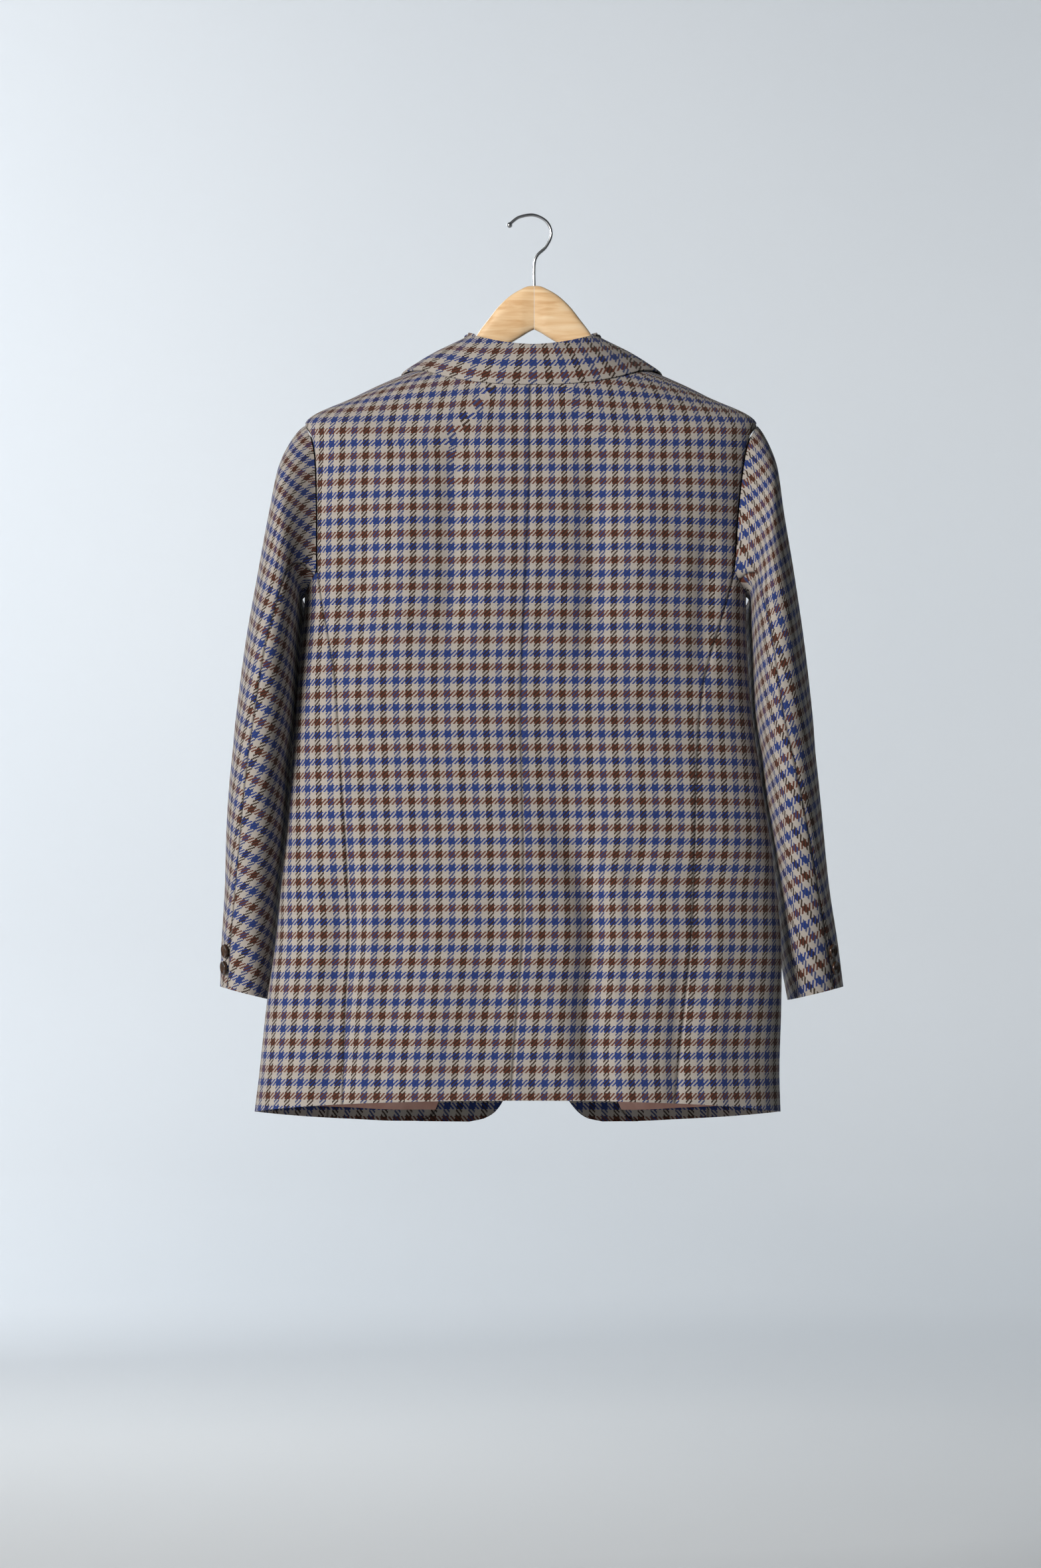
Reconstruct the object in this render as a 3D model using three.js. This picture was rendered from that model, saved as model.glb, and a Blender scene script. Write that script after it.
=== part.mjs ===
// A single-breasted tweed hacking jacket that hangs, buttoned, on a wooden hanger.
//
// Millimetres, +Z up. The origin is the inside top of the hanger's hook, where the hanger is held.
// The jacket faces -Y, so its back faces +Y and the wearer's left is +X.
import * as THREE from "three";

// ---- Driving dimensions ------------------------------------------------------------------------

const TWEED = 1.6; // wall of every tweed piece
const SATIN = 1.0; // wall of the lining
const SEAM_GAP = 0.3; // between two pieces that a seam joins
const LAYER_GAP = 0.4; // between two pieces that lie on each other
const BUTTON_GAP = 0.55; // the thread shank under a button
const FLAP_LIFT = 1.0; // a flap or the collar stands this far off the panel under it
const LAPEL_LIFT = 1.75; // a lapel stands this far off its front

const AT_BREAK = 0.53; // level where the lapel begins to roll
const AT_UNDERARM = 0.65; // lowest level of the armholes
const AT_SIDE_TOP = 0.68; // level where the side seams run into the armholes
const AT_TIP = 0.86; // level of the shoulder tips
const AT_LINING_HEM = 0.013;
const AT_LINING_TOP = 0.59;

const FACING_FROM = 0.7; // share of the front's width where the facing begins
const OVERLAP = 20; // the left front passes the centre front by this much
const LAP_STEP = 4.2; // the left front lies this far outside the right one where they lap

const FRONT_BUTTON = { radius: 10, height: 3.6 };
const CUFF_BUTTON = { radius: 7.3, height: 3.2 };

const WIRE_RADIUS = 1.6; // the hanger's hook
const BALL_RADIUS = 2.9; // the ball at the hook's tip

// ---- Tables ------------------------------------------------------------------------------------

// The rows of a table as objects that carry its column names.
function table(names, rows) {
  const columns = names.split(" ");
  return rows.map((row) => Object.fromEntries(columns.map((name, i) => [name, row[i]])));
}

// Rings round the body from the hem (at 0) to the neck (at 1). From the shoulder tips upwards the
// rings shrink along the shoulder seams. zSide, zBack and zFront are heights, halfWidth, back and
// front are reaches from the jacket's middle, square is the exponent of the ring's superellipse
// and lean is how far the ring's middle lies towards the wearer's left.
const BODY_RINGS = table("at zSide zBack zFront halfWidth back front square lean", [
  [0.0, -914, -901, -927, 267, 84, 80, 2.3, 17],
  [0.05, -873, -865, -881, 264, 82, 78, 2.3, 15],
  [0.14, -806, -801, -811, 261.5, 79, 75, 2.3, 10.5],
  [0.24, -725, -723, -727, 255.5, 76, 73, 2.4, 5.5],
  [0.33, -653, -652, -654, 248, 72, 70, 2.4, 6],
  [0.4, -592, -592, -592, 241, 69, 67, 2.5, 8],
  [0.53, -488, -488, -488, 230.5, 73, 70, 2.6, 11],
  [0.65, -390, -394, -391, 225, 77, 73, 2.8, 9],
  [0.76, -302, -318, -314, 226, 76, 72, 2.8, 7],
  [0.86, -215, -246, -262, 231, 66, 66, 2.6, 3.5],
  [0.91, -185, -215, -246, 179, 61, 62, 2.5, 3],
  [0.95, -164, -191, -236, 134, 57, 58, 2.4, 2.5],
  [1.0, -141, -159, -226, 71, 51, 52, 2.2, 1.5],
]);

// Where the panels meet, as distances from the jacket's middle. centre is the centre back seam
// (towards the left), backLeft and backRight the side back seams and the back armhole edges,
// frontSide the side front seam and the front armhole edge. OPEN_END stands for the shoulder seam.
const OPEN_END = 1000;
const SEAMS = [
  { at: 0.0, centre: 7, backLeft: 176, backRight: 158, frontSide: 196 },
  { at: 0.14, centre: 6.5, backLeft: 180, backRight: 161, frontSide: 194 },
  { at: 0.24, centre: 6, backLeft: 182, backRight: 164, frontSide: 190 },
  { at: 0.4, centre: 4.5, backLeft: 186, backRight: 171, frontSide: 182 },
  { at: 0.53, centre: 3, backLeft: 190, backRight: 181, frontSide: 186 },
  { at: 0.65, centre: 1, backLeft: 208, backRight: 206, frontSide: 200 },
  { at: 0.68, centre: 0.5, backLeft: 212, backRight: 211, frontSide: 202 },
  { at: 0.76, centre: 0, backLeft: 214, backRight: 214, frontSide: 200 },
  { at: 0.82, centre: 0, backLeft: 218, backRight: 218, frontSide: 205 },
  { at: 0.845, centre: 1, backLeft: 223, backRight: 223, frontSide: 216 },
  { at: 0.86, centre: 1.5, backLeft: 231, backRight: 231, frontSide: 231 },
  { at: 0.86001, centre: 1.5, backLeft: OPEN_END, backRight: OPEN_END, frontSide: OPEN_END },
  { at: 1.0, centre: 2, backLeft: OPEN_END, backRight: OPEN_END, frontSide: OPEN_END },
];

// The front edges, as distances from the jacket's middle towards the piece's own side. From the
// hem up: the rounded corner, the cutaway, the straight lap, then the roll line of the lapel.
const FRONT_EDGE = [
  { at: 0.0, left: 50, right: 88 },
  { at: 0.004, left: 34, right: 72 },
  { at: 0.013, left: 22, right: 60 },
  { at: 0.03, left: 13, right: 48 },
  { at: 0.06, left: 4, right: 33 },
  { at: 0.1, left: -6, right: 14 },
  { at: 0.15, left: -14, right: -5 },
  { at: 0.2, left: -19, right: -16 },
  { at: 0.24, left: -OVERLAP, right: -OVERLAP },
  { at: 0.53, left: -OVERLAP, right: -OVERLAP },
  { at: 0.59, left: -9, right: -9 },
  { at: 0.65, left: 4, right: 4 },
  { at: 0.76, left: 26, right: 26 },
  { at: 0.86, left: 40, right: 40 },
  { at: 0.91, left: 45, right: 45 },
  { at: 0.95, left: 49, right: 49 },
  { at: 0.975, left: 55, right: 55 },
  { at: 1.0, left: 62, right: 62 },
];

// The largest folds: each is a trough between two heights, whose middle runs from xHigh to xLow
// (from the jacket's middle, + towards the left), with the bend as a bow to one side.
const FOLDS = [
  { face: "back", zHigh: -215, zLow: -480, xHigh: 76, xLow: 72, bow: 0, depth: 5, width: 17 },
  { face: "back", zHigh: -220, zLow: -490, xHigh: -62, xLow: -70, bow: 0, depth: 6, width: 19 },
  { face: "back", zHigh: -610, zLow: -960, xHigh: 186, xLow: 184, bow: 0, depth: 10, width: 20 },
  { face: "back", zHigh: -590, zLow: -960, xHigh: -22, xLow: -112, bow: -14, depth: 15, width: 19 },
  { face: "front", zHigh: -722, zLow: -970, xHigh: 130, xLow: 138, bow: 6, depth: 9, width: 22 },
  { face: "front", zHigh: -722, zLow: -970, xHigh: -118, xLow: -142, bow: -6, depth: 10, width: 22 },
];

// Rings down each sleeve. The first lies just outside the armhole, later ones turn about the
// underarm until they lie level at the fifth. out and in are the ring's outer and inner ends seen
// from the back, for the left and the right sleeve, reach is half its depth from front to back, y
// is its middle and hind is where the hindarm seam crosses it, in degrees from the back.
const SLEEVE_RINGS = table("outL outR zOut inL inR zIn reach y hindL hindR", [
  [237, 230, -215, 236, 219, -390, 42, 1, -42, -46],
  [250, 239, -230, 237, 219.5, -392, 54, 0, -36, -42],
  [261, 248, -258, 237.5, 220, -396, 65, -1, -28, -38],
  [271, 255, -306, 238, 220.5, -403, 76, -3, -18, -34],
  [282, 265, -368, 239, 221, -418, 84, -5, -8, -28],
  [294, 275, -435, 241, 222, -442, 87, -8, 2, -20],
  [303, 283, -500, 244, 224, -502, 83, -13, 11, -9],
  [310, 289, -565, 249, 231, -567, 79, -18, 18, 4],
  [315, 296, -630, 254, 241, -633, 74, -26, 23, 16],
  [318, 304, -693, 261, 249, -698, 67, -37, 29, 24],
  [321, 312, -745, 265, 253, -754, 61, -49, 35, 30],
  [323, 318, -787, 269, 261, -801, 57, -60, 39, 35],
]);
const FOREARM_SEAM = 222; // degrees from the back round the outside to the forearm seam
const SQUARE_SLEEVE = 2.2; // exponent of the sleeve rings' superellipse

// Cross-sections of the collar from the centre back to its front end: where each starts on the
// neckline, how high it stands, and where its leaf's edge lies on the body (angle and level).
// raise is what the leaf's edge lifts beyond the other flaps.
const COLLAR_SECTIONS = [
  { step: 0, neck: 0, stand: 21.5, leaf: 0, leafAt: 0.968, raise: 0 },
  { step: 1, neck: 40, stand: 22.5, leaf: 34, leafAt: 0.9665, raise: 0 },
  { step: 2, neck: 70, stand: 21, leaf: 64, leafAt: 0.965, raise: 0.2 },
  { step: 3, neck: 90, stand: 18, leaf: 90, leafAt: 0.953, raise: 1 },
  { step: 4, neck: 108, stand: 12, leaf: 122, leafAt: 0.932, raise: 1.5 },
  { step: 5, neck: 120, stand: 5.5, leaf: 145, leafAt: 0.912, raise: 1.5 },
];

// The lapel from the break up to the gorge: its width beyond the roll line.
const LAPEL_ROWS = [
  { share: 0, width: 5 },
  { share: 0.2, width: 32 },
  { share: 0.45, width: 58 },
  { share: 0.7, width: 76 },
  { share: 0.9, width: 88 },
  { share: 1, width: 92 },
];
const LAPEL_TOP = { atRoll: 0.972, atPoint: 0.84 };

// The hanger's arms from the centre joint to the tip: top, bottom and half the thickness. Past
// SHOULDER_FROM the top follows the shoulder seams instead.
const HANGER_ARM = [
  { x: 0, top: -71, bottom: -116, half: 6 },
  { x: 6, top: -71.6, bottom: -119, half: 6.5 },
  { x: 14, top: -75, bottom: -124, half: 7 },
  { x: 24, top: -81, bottom: -130, half: 7 },
  { x: 36, top: -92, bottom: -137, half: 7 },
  { x: 47, top: -106, bottom: -146, half: 7 },
  { x: 58, top: -121, bottom: -156, half: 7 },
  { x: 63.5, top: -133, bottom: -162, half: 7.2 },
  { x: 66, top: -145, bottom: -165, half: 7.5 },
  { x: 74, top: 0, bottom: -171, half: 8 },
  { x: 100, top: 0, bottom: -184, half: 9 },
  { x: 135, top: 0, bottom: -200, half: 10.5 },
  { x: 170, top: 0, bottom: -215, half: 12 },
  { x: 194, top: 0, bottom: -227, half: 11 },
  { x: 202, top: 0, bottom: -227, half: 7 },
];
const SHOULDER_FROM = 70;

// The hook's centre line in the plane of the hanger: up from the wood, out to the wearer's right,
// over the top and down to the ball.
const HOOK_ROUTE = [
  [0, -70.7],
  [0, -50],
  [-3, -40],
  [-12, -31],
  [-17.5, -18],
  [-13, -5.5],
  [0, WIRE_RADIUS],
  [14, 0],
  [22, -5],
  [27, -11],
];

// ---- Curves from the tables --------------------------------------------------------------------

const DEGREE = Math.PI / 180;
const clamp = (value, low, high) => Math.min(high, Math.max(low, value));
const mix = (a, b, share) => a + (b - a) * share;
const smooth = (share) => {
  const s = clamp(share, 0, 1);
  return s * s * (3 - 2 * s);
};

// A smooth curve through one column of a table that never overshoots its rows.
function columnCurve(table, key, column) {
  const xs = table.map((row, index) => (key ? row[key] : index));
  const ys = table.map((row) => row[column]);
  const slopes = xs.slice(1).map((x, i) => (ys[i + 1] - ys[i]) / (x - xs[i]));
  const tangents = xs.map((_, i) => {
    if (i === 0) return slopes[0];
    if (i === xs.length - 1) return slopes[i - 1];
    const product = slopes[i - 1] * slopes[i];
    return product <= 0 ? 0 : (2 * product) / (slopes[i - 1] + slopes[i]);
  });
  return (x) => {
    const t = clamp(x, xs[0], xs[xs.length - 1]);
    let i = 0;
    while (i < xs.length - 2 && t > xs[i + 1]) i += 1;
    const width = xs[i + 1] - xs[i];
    const s = (t - xs[i]) / width;
    const rise = (2 * s ** 3 - 3 * s ** 2 + 1) * ys[i] + (3 * s ** 2 - 2 * s ** 3) * ys[i + 1];
    const leave = (s ** 3 - 2 * s ** 2 + s) * tangents[i];
    const arrive = (s ** 3 - s ** 2) * tangents[i + 1];
    return rise + width * (leave + arrive);
  };
}

function curvesOf(rows, key) {
  const columns = Object.keys(rows[0]).filter((name) => name !== key);
  return Object.fromEntries(columns.map((name) => [name, columnCurve(rows, key, name)]));
}

const ring = curvesOf(BODY_RINGS, "at");
const seam = curvesOf(SEAMS, "at");
const frontEdge = curvesOf(FRONT_EDGE, "at");
const sleeveRing = curvesOf(SLEEVE_RINGS, null);
const collarSection = curvesOf(COLLAR_SECTIONS, "step");
const lapelRow = curvesOf(LAPEL_ROWS, "share");
const hangerArm = curvesOf(HANGER_ARM, "x");

// ---- The body's surface ------------------------------------------------------------------------

const SHOULDER_SAG = 1.5; // how the height runs from the side of a ring to its middle

// How far the folds push the cloth in at a point, x being from the jacket's middle.
function foldDepth(face, x, z) {
  let depth = 0;
  for (const fold of FOLDS.filter((row) => row.face === face)) {
    const share = (fold.zHigh - z) / (fold.zHigh - fold.zLow);
    if (share <= 0 || share >= 1) continue;
    const middle = mix(fold.xHigh, fold.xLow, share) + fold.bow * Math.sin(2 * Math.PI * share);
    const fade = smooth(share * 3) * smooth((1 - share) * 3);
    depth += fold.depth * fade * Math.exp(-(((x - middle) / fold.width) ** 2));
  }
  return depth;
}

// The outer face of the body. angle is 0 at the centre back, 90 degrees at the side and 180 at
// the centre front; hand is 1 for the wearer's left half and -1 for the right.
function bodyPoint(angle, at, hand) {
  const power = 2 / ring.square(at);
  const across = Math.sign(Math.sin(angle)) * Math.abs(Math.sin(angle)) ** power;
  const deep = Math.abs(Math.cos(angle)) ** power;
  const isBack = Math.cos(angle) > 0;
  const reach = isBack ? ring.back(at) : ring.front(at);
  const x = hand * ring.halfWidth(at) * across;
  const zMiddle = isBack ? ring.zBack(at) : ring.zFront(at);
  const z = mix(ring.zSide(at), zMiddle, Math.abs(Math.cos(angle)) ** SHOULDER_SAG);
  const folded = foldDepth(isBack ? "back" : "front", x, z) * smooth(deep * 1.6);
  const y = (isBack ? 1 : -1) * (reach * deep - folded);
  return new THREE.Vector3(ring.lean(at) + x, y, z);
}

const PROBE = 0.002;

function bodyNormal(angle, at, hand) {
  const low = Math.max(at - PROBE, 0);
  const high = Math.min(at + PROBE, 1);
  const round = bodyPoint(angle + PROBE, at, hand).sub(bodyPoint(angle - PROBE, at, hand));
  const up = bodyPoint(angle, high, hand).sub(bodyPoint(angle, low, hand));
  return up.cross(round).multiplyScalar(hand).normalize();
}

// The angle at which a ring passes a distance from the jacket's middle.
function backAngle(distance, at) {
  const share = clamp(distance / ring.halfWidth(at), -1, 1);
  return Math.sign(share) * Math.asin(Math.abs(share) ** (ring.square(at) / 2));
}
const frontAngle = (distance, at) => Math.PI - backAngle(distance, at);

// ---- Cloth walls -------------------------------------------------------------------------------

// A closed wall between two grids of points, outer[row][column] in front of inner[row][column].
function wallGeometry(outer, inner) {
  const rows = outer.length;
  const columns = outer[0].length;
  const points = [...outer.flat(), ...inner.flat()];
  const outerAt = (row, column) => row * columns + column;
  const innerAt = (row, column) => rows * columns + outerAt(row, column);
  const indices = [];
  const quad = (a, b, c, d) => indices.push(a, b, c, a, c, d);
  for (let row = 0; row < rows - 1; row += 1) {
    for (let column = 0; column < columns - 1; column += 1) {
      const next = column + 1;
      quad(outerAt(row, column), outerAt(row + 1, column), outerAt(row + 1, next), outerAt(row, next));
      quad(innerAt(row, column), innerAt(row, next), innerAt(row + 1, next), innerAt(row + 1, column));
    }
  }
  for (let column = 0; column < columns - 1; column += 1) {
    const last = rows - 1;
    const next = column + 1;
    quad(outerAt(0, column), outerAt(0, next), innerAt(0, next), innerAt(0, column));
    quad(outerAt(last, column), innerAt(last, column), innerAt(last, next), outerAt(last, next));
  }
  for (let row = 0; row < rows - 1; row += 1) {
    const last = columns - 1;
    quad(outerAt(row, 0), innerAt(row, 0), innerAt(row + 1, 0), outerAt(row + 1, 0));
    quad(outerAt(row, last), outerAt(row + 1, last), innerAt(row + 1, last), innerAt(row, last));
  }
  const geometry = new THREE.BufferGeometry().setFromPoints(points);
  geometry.setIndex(indices);
  geometry.computeVertexNormals();
  return geometry;
}

// Draws the borders of a grid in by half a seam gap, so that neighbours stay clear of each other.
function drawIn(grid) {
  const half = SEAM_GAP / 2;
  const toward = (from, to) => from.addScaledVector(to.clone().sub(from).normalize(), half);
  const lastRow = grid.length - 1;
  const lastColumn = grid[0].length - 1;
  grid.forEach((line) => {
    toward(line[0], line[1]);
    toward(line[lastColumn], line[lastColumn - 1]);
  });
  grid[0].forEach((point, column) => toward(point, grid[1][column]));
  grid[lastRow].forEach((point, column) => toward(point, grid[lastRow - 1][column]));
  return grid;
}

// A piece of the body: spot(row, column) gives an angle and a level, lift how far its outer face
// stands off the body's outer face.
function bodyPiece(rows, columns, hand, thickness, spot, lift = () => 0) {
  const outer = [];
  const inner = [];
  for (let row = 0; row < rows; row += 1) {
    outer.push([]);
    inner.push([]);
    for (let column = 0; column < columns; column += 1) {
      const { angle, at } = spot(row, column);
      const normal = bodyNormal(angle, at, hand);
      const face = bodyPoint(angle, at, hand).addScaledVector(normal, lift(angle, at));
      outer[row].push(face);
      inner[row].push(face.clone().addScaledVector(normal, -thickness));
    }
  }
  drawIn(outer);
  drawIn(inner);
  return hand > 0 ? wallGeometry(outer, inner) : wallGeometry(inner, outer);
}

// A piece given by a grid of points on its outer face. The wall is laid behind it.
function gridPiece(outer, thickness, hand) {
  const lastRow = outer.length - 1;
  const lastColumn = outer[0].length - 1;
  const inner = outer.map((line, row) =>
    line.map((point, column) => {
      const along = line[Math.min(column + 1, lastColumn)].clone().sub(line[Math.max(column - 1, 0)]);
      const up = outer[Math.min(row + 1, lastRow)][column].clone().sub(outer[Math.max(row - 1, 0)][column]);
      return point.clone().addScaledVector(up.cross(along).normalize(), -thickness * hand);
    }),
  );
  drawIn(outer);
  drawIn(inner);
  return hand > 0 ? wallGeometry(outer, inner) : wallGeometry(inner, outer);
}

// ---- Materials and names -----------------------------------------------------------------------

const cloth = (colour) => new THREE.MeshStandardMaterial({ color: colour, roughness: 0.95, metalness: 0 });
const tweed = () => cloth("#7c7677");
const satin = () => new THREE.MeshStandardMaterial({ color: "#d9b3a4", roughness: 0.35, metalness: 0 });
const wood = () => new THREE.MeshStandardMaterial({ color: "#e4c096", roughness: 0.45, metalness: 0 });
const chrome = () => new THREE.MeshStandardMaterial({ color: "#c9ccd0", roughness: 0.2, metalness: 1 });
const horn = () => new THREE.MeshStandardMaterial({ color: "#3b2a20", roughness: 0.35, metalness: 0 });

const jacket = new THREE.Group();
const hanger = new THREE.Group();

function add(group, name, geometry, material) {
  const mesh = new THREE.Mesh(geometry, material);
  mesh.name = name;
  group.add(mesh);
  return mesh;
}

const HANDS = [
  { side: "left", hand: 1 },
  { side: "right", hand: -1 },
];

// ---- Panels of the body ------------------------------------------------------------------------

const LEVELS = [0, 0.05, 0.09, 0.14, 0.19, 0.24, 0.29, 0.34, 0.4, 0.46, 0.53, 0.59, 0.65, 0.68, 0.72, 0.76];
const SHOULDER_LEVELS = [0.79, 0.82, 0.84, 0.86, 0.89, 0.92, 0.95, 0.975, 1];
const CORNER_LEVELS = [0.004, 0.013, 0.03];
const BACK_LEVELS = [...LEVELS, ...SHOULDER_LEVELS];
const FRONT_LEVELS = [...BACK_LEVELS, ...CORNER_LEVELS].sort((a, b) => a - b);
const SIDE_LEVELS = LEVELS.filter((at) => at <= AT_LINING_TOP);
const BACK_COLUMNS = 10;
const SIDE_COLUMNS = 5;
const FRONT_SHARES = [0, 0.15, 0.3, 0.45, 0.58, FACING_FROM, 0.8, 0.9, 1];
const FACING_SHARES = FRONT_SHARES.filter((share) => share >= FACING_FROM);
const LINING_SHARES = FRONT_SHARES.filter((share) => share > 0 && share <= FACING_FROM);

const sideBackAngle = (at, hand) => backAngle(hand > 0 ? seam.backLeft(at) : seam.backRight(at), at);
const sideFrontAngle = (at) => frontAngle(seam.frontSide(at), at);
const edgeAngle = (at, hand) => frontAngle(hand > 0 ? frontEdge.left(at) : frontEdge.right(at), at);
const centreAngle = (at, hand) => backAngle(hand * seam.centre(at), at);
const frontSpot = (share, at, hand) => ({ angle: mix(sideFrontAngle(at), edgeAngle(at, hand), share), at });

// The left front steps out over the right one towards the centre front.
const lapLift = (angle, hand) => (hand > 0 ? LAP_STEP * smooth((angle / DEGREE - 150) / 20) : 0);

// The top of a side panel is scooped out under the arm: its last two rows bend up to the seams.
const SCOOP_SHARES = [2 / 3, 1];
const scoopTop = (share) => mix(AT_UNDERARM, AT_SIDE_TOP, (2 * share - 1) ** 2);

function sideSpot(row, column, hand) {
  const share = column / (SIDE_COLUMNS - 1);
  const flat = SIDE_LEVELS[Math.min(row, SIDE_LEVELS.length - 1)];
  const scooped = SCOOP_SHARES[row - SIDE_LEVELS.length];
  const at = scooped ? mix(flat, scoopTop(share), scooped) : flat;
  return { angle: mix(sideBackAngle(at, hand), sideFrontAngle(at), share), at };
}

for (const { side, hand } of HANDS) {
  const backSpot = (row, column) => {
    const at = BACK_LEVELS[row];
    return { angle: mix(centreAngle(at, hand), sideBackAngle(at, hand), column / (BACK_COLUMNS - 1)), at };
  };
  const backPiece = bodyPiece(BACK_LEVELS.length, BACK_COLUMNS, hand, TWEED, backSpot);
  add(jacket, `back_${side}`, backPiece, tweed());

  const sideRows = SIDE_LEVELS.length + SCOOP_SHARES.length;
  const sidePiece = bodyPiece(sideRows, SIDE_COLUMNS, hand, TWEED, (row, column) =>
    sideSpot(row, column, hand),
  );
  add(jacket, `side_${side}`, sidePiece, tweed());

  const frontPiece = bodyPiece(
    FRONT_LEVELS.length,
    FRONT_SHARES.length,
    hand,
    TWEED,
    (row, column) => frontSpot(FRONT_SHARES[column], FRONT_LEVELS[row], hand),
    (angle) => lapLift(angle, hand),
  );
  add(jacket, `front_${side}`, frontPiece, tweed());

  const facingLevels = FRONT_LEVELS.filter((at) => at <= AT_BREAK);
  const facingPiece = bodyPiece(
    facingLevels.length,
    FACING_SHARES.length,
    hand,
    TWEED * 0.75,
    (row, column) => frontSpot(FACING_SHARES[column], facingLevels[row], hand),
    (angle) => lapLift(angle, hand) - TWEED - LAYER_GAP,
  );
  add(jacket, `facing_${side}`, facingPiece, tweed());

  const liningLevels = FRONT_LEVELS.filter((at) => at >= AT_LINING_HEM && at <= AT_LINING_TOP);
  const liningPiece = bodyPiece(
    liningLevels.length,
    SIDE_COLUMNS + LINING_SHARES.length,
    hand,
    SATIN,
    (row, column) => {
      const at = liningLevels[row];
      if (column >= SIDE_COLUMNS) return frontSpot(LINING_SHARES[column - SIDE_COLUMNS], at, hand);
      const share = column / (SIDE_COLUMNS - 1);
      return { angle: mix(sideBackAngle(at, hand), sideFrontAngle(at), share), at };
    },
    (angle) => lapLift(angle, hand) - TWEED - LAYER_GAP,
  );
  add(jacket, `lining_${side}`, liningPiece, satin());
}

// ---- Lapels and collar -------------------------------------------------------------------------

const LAPEL_COLUMNS = 4;
const LAPEL_ROW_COUNT = 10;
const RIGHT_LAPEL_FROM = 0.34; // the right lapel comes out from under the left front here

for (const { side, hand } of HANDS) {
  const lapelSpot = (row, column) => {
    const share = mix(hand > 0 ? 0 : RIGHT_LAPEL_FROM, 1, row / (LAPEL_ROW_COUNT - 1));
    const across = column / (LAPEL_COLUMNS - 1);
    const top = mix(LAPEL_TOP.atPoint, LAPEL_TOP.atRoll, across);
    const at = mix(AT_BREAK + 0.01, top, share);
    const roll = hand > 0 ? frontEdge.left(at) : frontEdge.right(at);
    return { angle: frontAngle(roll + lapelRow.width(share) * (1 - across), at), at };
  };
  const lift = (angle) => lapLift(angle, hand) + LAPEL_LIFT + TWEED;
  const lapelPiece = bodyPiece(LAPEL_ROW_COUNT, LAPEL_COLUMNS, hand, TWEED, lapelSpot, lift);
  add(jacket, `lapel_${side}`, lapelPiece, tweed());
}

const COLLAR_HALF_COLUMNS = 13;
const FOOT_GAP = 0.95; // between the neckline and the foot of the stand
const FOLD_WIDTH = 5.6; // from the stand's inner face over the fold to the leaf
const STAND_SLOPE = 0.3; // how far the stand leans towards the neck for each mm of height

// One cross-section of the collar, from the foot of the stand over the fold to the leaf's edge.
function collarLine(step, hand) {
  const neckAngle = collarSection.neck(step) * DEGREE;
  const stand = collarSection.stand(step);
  const foot = bodyPoint(neckAngle, 1, hand);
  const rise = foot.clone().sub(bodyPoint(neckAngle, 0.99, hand)).normalize();
  const out = bodyNormal(neckAngle, 1, hand).setZ(0).normalize();
  const upward = new THREE.Vector3(0, 0, 1);
  const place = (outward, up) => foot.clone().addScaledVector(out, outward).addScaledVector(upward, up);
  const lean = -STAND_SLOPE * stand - TWEED;
  const leafAngle = collarSection.leaf(step) * DEGREE;
  const leafAt = collarSection.leafAt(step);
  const leafLift = FLAP_LIFT + TWEED + collarSection.raise(step);
  const leafOut = bodyNormal(leafAngle, leafAt, hand);
  const edge = bodyPoint(leafAngle, leafAt, hand).addScaledVector(leafOut, leafLift);
  const fall = place(lean + FOLD_WIDTH, stand - 2.5);
  const middle = fall.clone().lerp(edge, 0.5).addScaledVector(out, 1.5).add(new THREE.Vector3(0, 0, 1.5));
  return [
    place(-TWEED, FOOT_GAP).addScaledVector(rise, FOOT_GAP),
    place(lean * 0.6, stand * 0.55),
    place(lean, stand - 2),
    place(lean + FOLD_WIDTH / 2, stand + 0.4),
    fall,
    middle,
    edge,
  ];
}

const collarColumns = [];
for (let column = 1 - COLLAR_HALF_COLUMNS; column < COLLAR_HALF_COLUMNS; column += 1) {
  const share = Math.abs(column) / (COLLAR_HALF_COLUMNS - 1);
  collarColumns.push(collarLine(share * (COLLAR_SECTIONS.length - 1), column < 0 ? -1 : 1));
}
const collarGrid = collarColumns[0].map((_, row) => collarColumns.map((line) => line[row]));
add(jacket, "collar", gridPiece(collarGrid, TWEED, -1), tweed());

// ---- Sleeves -----------------------------------------------------------------------------------

const LOOP_STEPS = 24;
const LOOP_CLEAR = 0.9; // the sleeve starts this far outside the armhole

// The edge of the armhole: up the back, over the shoulder tip, down the front, under the arm.
function armholeLoop(hand) {
  const spots = [];
  for (let i = 0; i < LOOP_STEPS; i += 1) {
    const at = mix(AT_SIDE_TOP, AT_TIP, i / LOOP_STEPS);
    spots.push({ angle: sideBackAngle(at, hand), at });
  }
  for (let i = 0; i < LOOP_STEPS; i += 1) {
    const at = mix(AT_TIP, AT_SIDE_TOP, i / LOOP_STEPS);
    spots.push({ angle: sideFrontAngle(at), at });
  }
  for (let i = 0; i < LOOP_STEPS; i += 1) {
    const share = 1 - i / LOOP_STEPS;
    const at = scoopTop(share);
    spots.push({ angle: mix(sideBackAngle(at, hand), sideFrontAngle(at), share), at });
  }
  return spots.map(({ angle, at }) => bodyPoint(angle, at, hand));
}

const turn = (angle) => ((angle % 360) + 360) % 360;

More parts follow.
